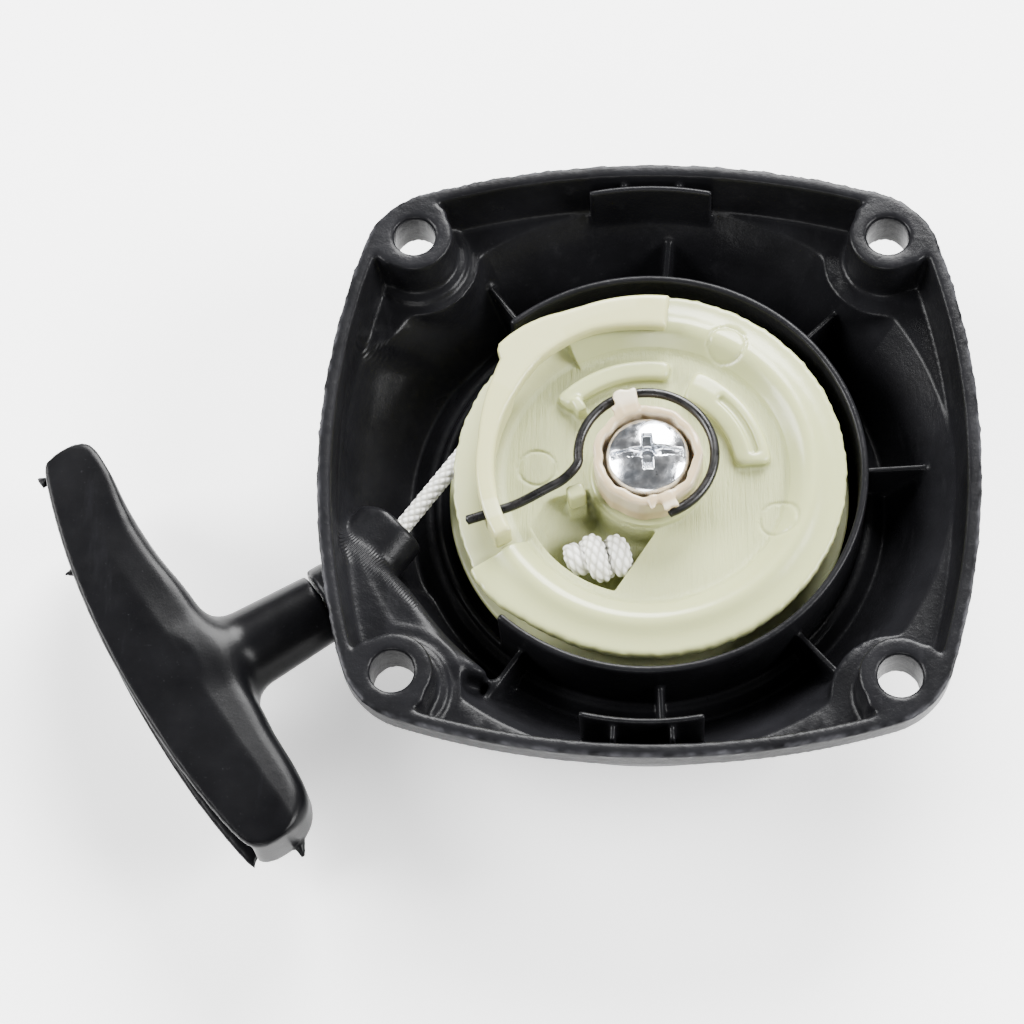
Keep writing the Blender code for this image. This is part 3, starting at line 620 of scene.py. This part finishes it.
    for hx, hy in HOLES:
        here = disc(x, y, (hx, hy), HOLE_RADIUS)
        bores = np.minimum(bores, np.minimum(here, here - 0.3 - (z - DEPTH)))
        bores = np.minimum(bores, np.maximum(here - 2.0, z - SHELF_Z - 1.0))
    shell = smooth_max(shell, -bores, 0.3)
    return smooth_max(shell, -smooth_max(r - 4.3, 8.6 - z, 0.1), 0.1)


def make_housing():
    radii = lines((0, 6, 3), (6, 33, 3), (33, 38.4, 0.33), (38.4, 66, 0.46))
    heights = lines((-1, 1.6, 0.4), (1.6, 6.4, 0.6), (6.4, 11.6, 0.4),
                    (11.6, 22.2, 0.53), (22.2, 33, 0.4))
    made = round_solid("housing_shell", housing_field, 660, radii, heights)
    thin_out(made)
    at = points_of(made)
    rim = rim_distance(at[:, 0], at[:, 1])
    angle = np.arctan2(at[:, 1], at[:, 0])
    patch = 0.5 + ripple(angle, (23, 0.3, 1.0), (61, 0.3, 2.0), (140, 0.25, 0.5))
    edge = np.exp(-((rim + 0.1) / 0.3) ** 2) * np.exp(-((at[:, 2] - DEPTH) / 0.4) ** 2)
    per_point(made, "wear", np.clip(edge * patch, 0.0, 1.0))
    # the cutter's marks lie along the plateau's edge and the upper lip of the scoop
    ridge = np.abs(plateau_edge(at[:, 0], at[:, 1]) - 1.8)
    scoop_lip = np.abs(disc(at[:, 0], at[:, 1], SCOOP, SCOOP_RADIUS)) + (at[:, 1] < 14.0) * 9.0
    milled = np.exp(-(np.minimum(ridge, scoop_lip + 0.6) / 1.4) ** 2)
    milled = milled * (at[:, 2] > 18.5) * (at[:, 0] < -37.0)
    per_point(made, "milled", milled * (rim < -2.0) * (at[:, 2] < DEPTH - 5.0))
    put(made, LOOKS["black_plastic"], "black_plastic", "housing", "starter_housing")


# ---- reel -----------------------------------------------------------------------------------
def reel_top(r):
    """Height of the reel's upper side: low floor, then a round bead, then the flange."""
    rise = np.clip((r - 21.6) / 4.2, 0.0, 1.0)
    bead = 1.05 * np.exp(-((r - 27.0) / 2.1) ** 2)
    return FLOOR_REEL + 2.0 * rise * rise * (3.0 - 2.0 * rise) + bead


def reel_field(x, y, z):
    r, angle = np.hypot(x, y), np.degrees(np.arctan2(y, x))
    swell = 1.5 * np.exp(-(((angle + 142.0 + 180.0) % 360.0 - 180.0) / 15.0) ** 2)
    nick = ripple(np.radians(angle), (29, 0.05, 0.5), (67, 0.05, 1.5), (113, 0.04, 3.0))
    above = z - reel_top(r)
    plate = smooth_max(r - FLANGE_RADIUS - swell - nick, np.maximum(above, 21.15 - z), 0.5)
    web = smooth_max(r - WEB_RADIUS - 0.6 * swell - nick, np.maximum(above, GROOVE_HIGH - z), 0.3)
    top = smooth_min(plate, web, 0.3)
    ledge = np.maximum(off_angle(x, y, 166.5, 45.5), np.maximum(22.0 - r, FLOOR_REEL - z))
    top = smooth_max(top, -ledge, 0.4)
    low = smooth_max(r - LOWER_FLANGE_RADIUS, slab(z, 12.0, GROOVE_LOW), 0.4)
    core = np.maximum(r - CORE_RADIUS, slab(z, 12.0, FLOOR_REEL - 0.01))
    hub = smooth_max(r - HUB_OUTER, slab(z, 3.6, 22.0), 0.5)
    solid = smooth_min(np.minimum(low, core), top, 0.3)
    solid = smooth_min(solid, hub, 0.6)
    # knot pocket with a straight right side, and the hole for the rope behind it
    side = (x - 1.3) * 0.849 - (y + 10.3) * 0.528
    ramp = (x + 20.3) * 0.85 - (y + 11.2) * 0.527
    deep = FLOOR_REEL - np.clip(0.85 * ramp, -0.5, 6.4)
    pocket = np.maximum(np.maximum(r - 21.3, 9.9 - r), np.maximum(side, deep - z))
    pocket = smooth_max(pocket, (196.0 - angle % 360.0) * pi / 180.0 * r, 0.8)
    solid = smooth_max(solid, -pocket, 0.35)
    # raised curved ribs and posts on the floor
    rib_a = smooth_max(np.abs(r - 18.6) - 1.7, off_angle(x, y, 109.5, 30.0), 1.2)
    rib_a = smooth_max(rib_a, slab(z, FLOOR_REEL - 1.0, 23.2), 0.9)
    rib_b = smooth_max(np.abs(r - 17.3) - 3.0, off_angle(x, y, 36.0, 31.5), 1.6)
    rib_b = smooth_max(rib_b, slab(z, FLOOR_REEL - 1.0, 23.0 - 0.12 * np.abs(r - 17.3)), 0.9)
    slot = smooth_max(np.abs(r - 17.8) - 0.55, off_angle(x, y, 30.0, 19.0), 0.6)
    rib_b = smooth_max(rib_b, -np.maximum(slot, 22.1 - z), 0.7)
    solid = smooth_min(solid, np.minimum(rib_a, rib_b), 0.7)
    for cx, cy, turn, half_u, half_v, top_z in ((-11.6, -5.2, 20.0, 1.5, 1.25, 26.0),
                                                (-11.6, 11.6, 30.0, 0.9, 1.5, 24.1)):
        u, v = turned_by(x - cx, y - cy, turn)
        post = smooth_max(np.abs(u) - half_u, np.abs(v) - half_v, 0.7)
        solid = smooth_min(solid, smooth_max(post, slab(z, 16.0, top_z), 0.6), 0.7)
    # ejector pin marks and the pawl's pivot hole
    for cx, cy in ((-18.3, 1.1), (21.4, -8.2), (13.0, 23.1)):
        mark = np.maximum(np.abs(disc(x, y, (cx, cy), 3.1)) - 0.22, -above - 0.22)
        solid = smooth_max(solid, -mark, 0.15)
    solid = smooth_max(solid, -np.maximum(disc(x, y, PAWL_PIVOT, 2.45), 20.8 - z), 0.2)
    return smooth_max(solid, -(r - HUB_INNER), 0.3)


def make_reel():
    radii = lines((5.2, 11.4, 0.5), (11.4, 22, 0.36), (22, 35.6, 0.34))
    heights = lines((2.6, 11.2, 1.2), (11.2, 14.2, 0.35), (14.2, 19.2, 0.8), (19.2, 27, 0.26))
    made = round_solid("reel_body", reel_field, 600, radii, heights)
    thin_out(made, 180000)
    at = points_of(made)
    r = np.hypot(at[:, 0], at[:, 1])
    low_spot = np.clip((FLOOR_REEL + 0.9 - at[:, 2]) / 0.7, 0.0, 1.0)
    per_point(made, "floor", low_spot * np.clip((24.6 - r) / 1.8, 0.0, 1.0))
    per_point(made, "deep_tone", np.exp(-((r - 26.2) / 2.4) ** 2))
    # painted highlight along the flange's outer rim
    per_point(made, "edge", np.clip((r - 31.4) / 1.2, 0.0, 1.0) * 0.7)
    # painted shade in the reel's hollows and corners
    paint_shade_in_hollows(made, reel_field, 0.8, 2.0)
    put(made, LOOKS["natural_nylon"], "natural_nylon", "reel", "rope_reel")


# ---- pawl -----------------------------------------------------------------------------------
def pawl_field(x, y, z):
    r, angle = np.hypot(x, y), np.degrees(np.arctan2(y, x)) % 360.0
    outside = np.interp(angle, (84, 112, 118, 124, 130, 135, 139.5, 141.2, 143, 150, 162, 172, 212),
                        (30.8, 30.8, 31.2, 32.0, 32.6, 32.9, 33.0, 32.4, 31.0, 30.0, 28.9, 28.2, 28.2))
    inside = np.interp(angle, (84, 96, 112, 134, 142, 150, 212),
                       (24.7, 24.9, 25.6, 25.7, 25.4, 25.1, 25.1))
    arm = smooth_max(r - outside, inside - r, 0.9)
    arm = smooth_max(arm, off_angle(x, y, 146.7, 63.1), 0.5)
    tail = np.clip((angle - 150.0) / 6.0, 0.0, 1.0)
    under = PAWL_LOW - (PAWL_LOW - 21.5) * tail * tail * (3.0 - 2.0 * tail)
    solid = smooth_max(arm, np.maximum(under - z, z - PAWL_TOP), 1.0)
    trunnion = smooth_max(disc(x, y, PAWL_PIVOT, 2.2), slab(z, 21.1, PAWL_LOW + 1.0), 0.3)
    u, v = turned_by(x, y, LEG_ANGLE)
    slot = np.maximum(np.abs(u - 26.6) - 4.0, np.abs(z - LEG_Z) - 1.15)
    slot = smooth_max(np.abs(v) - 1.9, slot, 0.5)
    return smooth_max(smooth_min(solid, trunnion, 0.4), -slot, 0.3)


def beside_reel(field):
    """A piece's field together with the reel's, which shades it too."""
    return lambda x, y, z: np.minimum(field(x, y, z), reel_field(x, y, z))


def make_pawl():
    made = round_solid("pawl_arm", pawl_field, 560, lines((23.6, 34.6, 0.3)),
                       lines((20.2, 28.2, 0.27)), (80.0, 214.0))
    at = points_of(made)
    # painted highlight on the pawl's top face and upper edges
    per_point(made, "edge", np.clip((at[:, 2] - PAWL_TOP + 0.9) / 0.9, 0.0, 1.0) * 0.5)
    # darker and yellower towards the bottom of the pawl
    per_point(made, "deep_tone", np.clip((PAWL_TOP - at[:, 2]) / 5.0, 0.0, 1.0) * 0.8)
    # painted shade in the pawl's hollows and where it meets the reel
    paint_shade_in_hollows(made, beside_reel(pawl_field), 1.0, 3.0)
    put(made, LOOKS["pawl_nylon"], "pawl_nylon", "pawl", "ratchet_pawl")


# ---- collar, screw and wire -----------------------------------------------------------------
def collar_field(x, y, z):
    r, angle = np.hypot(x, y), np.arctan2(y, x)
    lumpy = ripple(angle, (7, 0.13, 0.4), (11, 0.10, 2.0), (19, 0.07, 1.0))
    top = COLLAR_TOP + ripple(angle, (5, 0.10, 1.0), (9, 0.08, 0.2))
    wall = smooth_max(r - COLLAR_RADIUS - lumpy * 0.6 + 0.1, slab(z, COLLAR_LOW, top), 0.7)
    low, tip = WIRE_Z + WIRE_RADIUS + 0.35, 29.5
    solid = wall
    for middle, half, reach, cap in ((110.0, 10.5, 12.3, tip), (123.0, 4.0, 10.6, tip - 0.2),
                                     (-67.0, 7.5, 10.7, tip - 0.1), (-84.0, 3.5, 10.2, tip - 0.3)):
        lug = smooth_max(r - reach - 0.25 * np.sin(angle * 23.0), off_angle(x, y, middle, half), 0.9)
        solid = smooth_min(solid, smooth_max(lug, slab(z, low, cap), 0.5), 0.6)
    bore = smooth_max(r - COLLAR_INNER - lumpy, HEAD_LOW - 0.3 - z, 0.4)
    return smooth_max(smooth_max(solid, -bore, 0.5), -(r - 3.1), 0.2)


def screw_field(x, y, z):
    r = np.hypot(x, y)
    dome = np.sqrt(r * r + (z - HEAD_TOP + DOME_RADIUS) ** 2) - DOME_RADIUS
    head = smooth_max(smooth_max(dome, r - HEAD_RADIUS - 0.1, 0.7), HEAD_LOW - z, 0.3)
    shank = np.maximum(r - 2.55, slab(z, 11.0, HEAD_LOW + 0.5))
    u, v = turned_by(x, y, 4.0)
    crown = HEAD_TOP - DOME_RADIUS + np.sqrt(np.maximum(DOME_RADIUS ** 2 - r * r, 0.0))
    recess = smooth_max(np.abs(v) - 0.6, np.maximum(np.abs(u) - 5.7, crown - 0.9 - z), 0.2)
    for one, other in ((u, v), (v, u)):
        arm = np.maximum(np.abs(other) - 3.0, crown - 2.6 + 0.7 * np.abs(other) - z)
        recess = np.minimum(recess, smooth_max(np.abs(one) - 0.8, arm, 0.2))
    recess = np.minimum(recess, np.maximum(r - 1.35, crown - 2.8 - z))
    return smooth_min(smooth_max(head, -recess, 0.2), shank, 0.3)


def friction_wire_route():
    """Hook end, open loop round the collar, then a bend into the straight leg."""
    route = [(3.4, -9.9, WIRE_Z)]
    for step in range(28):
        angle = radians(-62.0 + step * 252.0 / 27)
        route.append((-0.2 + 11.15 * cos(angle), 0.7 + 11.15 * sin(angle), WIRE_Z))
    for distance in (14.2, 17.0, 20.0, 23.0, 26.0, 29.0, 31.2):
        share = min(1.0, (distance - 12.0) / 10.0)
        angle = radians(LEG_ANGLE - 4.5 * (1.0 - share))
        route.append((distance * cos(angle), distance * sin(angle), WIRE_Z + (LEG_Z - WIRE_Z) * share))
    return route


def eased(route, rounds=2):
    """A closer-spaced, rounder copy of a route of points (corner cutting)."""
    points = [Vector(p) for p in route]
    for _ in range(rounds):
        cut = [points[0]]
        for a, b in zip(points, points[1:]):
            cut += [a * 0.75 + b * 0.25, a * 0.25 + b * 0.75]
        points = cut + [points[-1]]
    return points


def sweep(name, points, sides, shape, cap=0.35):
    """A tube along points; shape(lengths, angles) gives its radius, and its ends are rounded."""
    points = [Vector(p) for p in points]
    lengths = [0.0]
    for a, b in zip(points, points[1:]):
        lengths.append(lengths[-1] + (b - a).length)
    lengths = np.array(lengths)
    total = lengths[-1]
    around = np.arange(sides) * 2 * pi / sides
    radius = shape(lengths[:, None], around[None, :])
    near_end = np.minimum(lengths, total - lengths)
    radius = radius * np.sqrt(np.clip(1 - (1 - np.clip(near_end / cap, 0, 1)) ** 2, 0.02, 1))[:, None]
    side = Vector((0, 0, 1))
    rows = []
    for i, point in enumerate(points):
        ahead = (points[min(i + 1, len(points) - 1)] - points[max(i - 1, 0)]).normalized()
        side = (side - ahead * side.dot(ahead)).normalized()
        other = ahead.cross(side)
        rows.append([point + (side * cos(a) + other * sin(a)) * q for a, q in zip(around, radius[i])])
    spots = np.array(rows).reshape(-1, 3)
    i, j = np.meshgrid(np.arange(len(points) - 1), np.arange(sides), indexing="ij")
    n = (j + 1) % sides
    faces = np.stack([i * sides + j, i * sides + n, (i + 1) * sides + n, (i + 1) * sides + j], axis=-1)
    mesh = bpy.data.meshes.new(name)
    last = (len(points) - 1) * sides
    caps = [list(range(sides))[::-1], [last + k for k in range(sides)]]
    mesh.from_pydata((spots * MM).tolist(), [], faces.reshape(-1, 4).tolist() + caps)
    made = bpy.data.objects.new(name, mesh)
    bpy.context.scene.collection.objects.link(made)
    mesh.shade_smooth()
    return made, radius


def spaced(points, gap):
    """The same route with points an even distance apart."""
    points = np.array([tuple(p) for p in points])
    lengths = np.concatenate([[0], np.cumsum(np.linalg.norm(np.diff(points, axis=0), axis=1))])
    at = np.linspace(0, lengths[-1], max(3, int(lengths[-1] / gap)))
    return np.stack([np.interp(at, lengths, points[:, i]) for i in range(3)], axis=1)


def make_small_pieces():
    collar = round_solid("collar_cup", collar_field, 360, lines((2.2, 13.6, 0.26)),
                         lines((21.4, 30.6, 0.26)))
    at = points_of(collar)
    # painted highlight along the collar's top edge
    per_point(collar, "edge", np.clip((at[:, 2] - COLLAR_TOP + 0.5) / 0.5, 0.0, 1.0) * 0.4)
    # painted shade: the collar's side takes the deeper tone towards its bottom
    per_point(collar, "deep_tone", np.clip((28.0 - at[:, 2]) / 5.0, 0.0, 1.0) * 0.6)
    # painted shade in the collar's hollows and where it meets the reel
    paint_shade_in_hollows(collar, beside_reel(collar_field), 1.0, 2.5)
    put(collar, LOOKS["cream_nylon"], "cream_nylon", "housing", "friction_collar")

    screw = round_solid("screw_head", screw_field, 360, lines((0.0, 7.4, 0.18)),
                        lines((10, 24.6, 1.0), (24.6, 31.2, 0.16)))
    put(screw, LOOKS["bright_zinc"], "bright_zinc", "housing", "centre_screw")

    wire, _ = sweep("friction_wire_bent", spaced(eased(friction_wire_route(), 3), 0.25), 20,
                    lambda s, a: np.full(np.broadcast(s, a).shape, WIRE_RADIUS + 0.06), 0.25)
    put(wire, LOOKS["oiled_wire"], "oiled_wire", "wire", "friction_wire")


# ---- rope -----------------------------------------------------------------------------------
def braid(s, a, plaits, step=0.85):
    """Radius of a braided rope: plump crossings in staggered rings round it."""
    left, right = plaits * a + pi * s / step, plaits * a - pi * s / step
    lump = (0.5 + 0.5 * np.cos(left)) * (0.5 + 0.5 * np.cos(right))
    return ROPE_RADIUS - 0.26 + 0.26 * lump ** 0.4


def make_rope_piece(name, route, body, nodes, gap=0.13, sides=48, scale=1.0, plaits=6):
    """A length of the rope along a route; a piece without a body is left unattached."""
    made, radius = sweep(name, spaced(route, gap), sides,
                         lambda s, a: braid(s, a, plaits) * scale, 0.7)
    # how raised each point of the braid is, used for painted shade in the crevices between lumps
    per_point(made, "raised", np.clip((radius / scale - ROPE_RADIUS + 0.26) / 0.22, 0, 1).ravel())
    made.data.materials.append(LOOKS["white_rope"])
    if body:
        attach(made, body)
    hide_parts(*nodes)
    return made


def on_lead(distance):
    """A point on the rope's straight run, this far back from where it turns."""
    x, y = turned_by(distance, 0.0, -LEAD_ANGLE)
    return (BEND[0] - x, BEND[1] - y)


def lead_route():
    """Straight run from the reel, then the turn inside the guide, and out along the pull."""
    first, last = on_lead(4.5), from_bend(4.0, 0.0)[:2]
    route = [on_lead(44.0 - 39.5 * step / 8) for step in range(9)]
    for step in range(1, 6):
        share = step / 6
        weights = ((1 - share) ** 2, 2 * share * (1 - share), share ** 2)
        route.append(tuple(weights[0] * first[i] + weights[1] * BEND[i] + weights[2] * last[i]
                           for i in (0, 1)))
    route += [last, from_bend(NECK_START - 0.6, 0.0)[:2]]
    return [(x, y, ROPE_Z) for x, y in route]


def knot_route(centre, along, turns, shifts, radii, height=1.0):
    """The turns of a stopper knot, side by side along a direction given in degrees.

    shifts and radii give each half turn's place along that direction and its size."""
    route, halves = [], np.arange(len(shifts))
    steps = int(turns * 24)
    for step in range(steps + 1):
        angle = 2 * pi * step / 24 - pi / 2
        shift, radius = np.interp(step / 12, halves, shifts), np.interp(step / 12, halves, radii)
        x, y = turned_by(shift, radius * cos(angle), -along)
        route.append((centre[0] + x, centre[1] + y, centre[2] + height * radius * sin(angle)))
    return route


def make_rope():
    make_rope_piece("rope_run", eased(lead_route(), 1), "housing", ["rope_lead"])
    nose = NECK_START - 0.3
    straight = [from_bend(nose + 26.0 * i / 8, 0.0) for i in range(9)]
    pulled = make_rope_piece("rope_in_handle", straight, None, ["handle_rope"], sides=24)
    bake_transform(pulled)
    turns = []                            # four turns on the reel, in two layers
    for step in range(4 * 90):
        angle = radians(LEAD_ANGLE + 40 - step * 4.0)
        layer = step // 180
        height = GROOVE_LOW + 1.65 + 3.0 * abs((step / 180.0) % 2 - 1.0 * (layer % 2)) % 3.0
        radius = CORE_RADIUS + 0.3 + 1.3 + layer * 0.2
        turns.append((radius * cos(angle), radius * sin(angle), min(height, GROOVE_HIGH - 1.65)))
    make_rope_piece("rope_turns", turns, "reel", ["rope_coil"], gap=0.5, sides=14)
    knot = knot_route((-7.3, -14.2, 19.3), 0.0, 3.0, (-5.4, -4.5, -2.9, -1.1, 0.9, 2.9, 3.9),
                      (0.3, 0.7, 1.6, 2.4, 2.3, 1.9, 1.2), 0.7)
    make_rope_piece("rope_knot_in_reel", knot, "reel", ["reel_knot"], gap=0.12, sides=64, scale=1.3,
                    plaits=8)
    x, y, _ = from_bend(NECK_START + 28.8, 0.0)
    knot = knot_route((x, y, ROPE_Z), PULL_ANGLE + 90, 1.6, (-2.1, -0.8, 0.5, 2.0),
                      (1.1, 1.1, 1.1, 1.1))
    make_rope_piece("rope_knot_in_handle", knot, "handle", ["handle_knot"], sides=30, scale=0.9)


# ---- handle ---------------------------------------------------------------------------------
def spline_loop(points, per=6):
    """A closed curve through given points (Catmull-Rom)."""
    p = [np.array(q, float) for q in points]
    out = []
    for i in range(len(p)):
        a, b, c, d = p[i - 1], p[i], p[(i + 1) % len(p)], p[(i + 2) % len(p)]
        for t in np.arange(per) / per:
            out.append(0.5 * (2 * b + (c - a) * t + (2 * a - 5 * b + 4 * c - d) * t * t
                              + (3 * b - a - 3 * c + d) * t ** 3))
    return out


def loop_distance(u, v, loop):
    """Signed distance to a closed outline, negative inside."""
    best, inside = 1e9, np.zeros(np.broadcast(u, v).shape, bool)
    for a, b in zip(loop, loop[1:] + loop[:1]):
        du, dv = b[0] - a[0], b[1] - a[1]
        share = np.clip(((u - a[0]) * du + (v - a[1]) * dv) / (du * du + dv * dv), 0.0, 1.0)
        best = np.minimum(best, np.hypot(u - a[0] - du * share, v - a[1] - dv * share))
        if abs(dv) > 1e-9:
            crosses = ((a[1] > v) != (b[1] > v)) & (u < du * (v - a[1]) / dv + a[0])
            inside = inside ^ crosses
    return np.where(inside, -best, best)


GRIP = [(16.9, 9.5), (17.3, 17.0), (17.3, 24.0), (18.0, 29.2), (20.4, 32.3), (24.5, 33.6), (28.8, 32.9),
        (31.0, 28.5), (32.9, 16.0), (33.6, 3.0), (33.5, -9.0), (32.4, -21.0), (30.4, -32.0),
        (27.6, -42.0), (25.4, -44.0), (21.2, -44.2), (18.7, -42.4), (18.3, -37.0), (18.8, -29.0),
        (18.5, -20.0), (17.2, -9.5)]


def handle_field(u, v, w):
    loop = spline_loop(GRIP)
    draft = np.clip((v - 22.0) / 10.0, 0.0, 1.0) * np.clip((30.5 - u) / 4.0, 0.0, 1.0)
    outline = loop_distance(u, v, loop) + 0.9 * draft * np.maximum(-w, 0.0)
    crease = 23.8 - 0.058 * v
    top = GRIP_THICK / 2 - 0.2 * np.maximum(crease - u, 0.0) * np.clip((v + 30.0) / 24.0, 0.1, 1.0)
    soft = 0.8 + 1.9 * np.clip((24.0 - u) / 4.0, 0.0, 1.0) * np.clip((v + 36.0) / 10.0, 0.0, 1.0)
    grip = smooth_max(outline, np.maximum(w - top, -w - GRIP_THICK / 2), soft)
    inner = loop_distance(u - 5.0, v / 0.95, loop)
    hollow = smooth_max(inner, np.abs(w) - GRIP_THICK / 2 + 1.8, 1.2)
    hollow = np.maximum(hollow, 20.5 - u)
    aside = np.hypot(v, w)
    neck = smooth_max(aside - 5.85 - 0.055 * u, slab(u, -0.4, 20.0), 0.6)
    solid = smooth_min(grip, neck, 4.5)
    solid = smooth_max(solid, -hollow, 0.5)
    for start, end, size in (((28.0, -42.0, 5.0), (29.4, -44.4, 4.6), 1.1),
                             ((31.4, -24.6, 6.4), (33.6, -25.2, 6.4), 0.9),
                             ((22.6, 32.6, 0.0), (23.4, 36.4, -0.4), 1.2)):
        solid = smooth_min(solid, spike(u, v, w, start, end, size), 0.3)
    return smooth_max(solid, -(aside - 1.9), 0.2)


def make_handle():
    nose = from_bend(NECK_START, 0.0)
    place = Matrix.Translation(nose) @ Matrix.Rotation(radians(PULL_ANGLE), 4, "Z")
    cell = 0.5
    made = square_solid("handle_grip", handle_field, (-1.6, -45.5, -10.6), (35.6, 36.0, 10.6),
                        cell, place)
    thin_out(made)
    per_point(made, "wear", np.zeros(len(made.data.vertices)))
    put(made, LOOKS["handle_plastic"], "handle_plastic", "handle", "pull_handle")


# ---- studio ---------------------------------------------------------------------------------
def area_light(name, place, target, size, power, colour=(1.0, 1.0, 1.0)):
    data = bpy.data.lights.new(name, "AREA")
    data.shape = "DISK"
    data.size = size
    data.energy = power
    data.color = colour
    made = bpy.data.objects.new(name, data)
    made.location = place
    made.rotation_euler = (Vector(target) - Vector(place)).to_track_quat("-Z", "Y").to_euler()
    bpy.context.scene.collection.objects.link(made)


def make_studio():
    bpy.ops.mesh.primitive_plane_add(size=8.0, location=(0.0, 0.0, 0.0))
    floor = bpy.context.object
    floor.name = "studio_floor"
    look = Look("floor_white", 0.9)
    tone = look.mix(look.noise(3.0), (0.93, 0.93, 0.93), (0.96, 0.96, 0.96))
    floor.data.materials.append(look.done(tone))
    look.shader.inputs["Emission Color"].default_value = (1.0, 1.0, 1.0, 1.0)
    look.shader.inputs["Emission Strength"].default_value = 0.7
    world = bpy.data.worlds.new("studio_world")
    world.use_nodes = True
    world.node_tree.nodes["Background"].inputs["Color"].default_value = (1.0, 1.0, 1.0, 1.0)
    world.node_tree.nodes["Background"].inputs["Strength"].default_value = 0.20
    bpy.context.scene.world = world
    middle = (-0.015, 0.0, 0.01)
    area_light("key", (0.20, 1.00, 0.70), middle, 0.8, 72.0)
    area_light("left", (-0.90, 0.10, 0.62), middle, 0.6, 28.0)
    area_light("right", (0.90, -0.05, 0.62), middle, 0.6, 28.0)
    area_light("front", (-0.10, -0.95, 0.55), middle, 0.6, 7.0)


def make_camera():
    """Looks down at the open side from the lower end, turned a little about its own axis."""
    data = bpy.data.cameras.new("camera")
    data.lens = 95.93
    data.sensor_width = 36.0
    made = bpy.data.objects.new("camera", data)
    bpy.context.scene.collection.objects.link(made)
    made.location = (0.00647, -0.19045, 0.42900)
    made.rotation_euler = (radians(24.285), radians(3.220), radians(1.793))
    bpy.context.scene.camera = made


def dress_kept_nodes():
    """The hidden insert and recoil spring keep their CAD shape and get their metals."""
    for node, slot in (("threaded_insert", "brass"), ("recoil_spring", "spring_steel")):
        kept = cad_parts[node]
        kept.data.materials.clear()
        kept.data.materials.append(LOOKS[slot])


make_housing()
make_reel()
make_pawl()
make_small_pieces()
make_rope()
make_handle()
dress_kept_nodes()
make_studio()
make_camera()
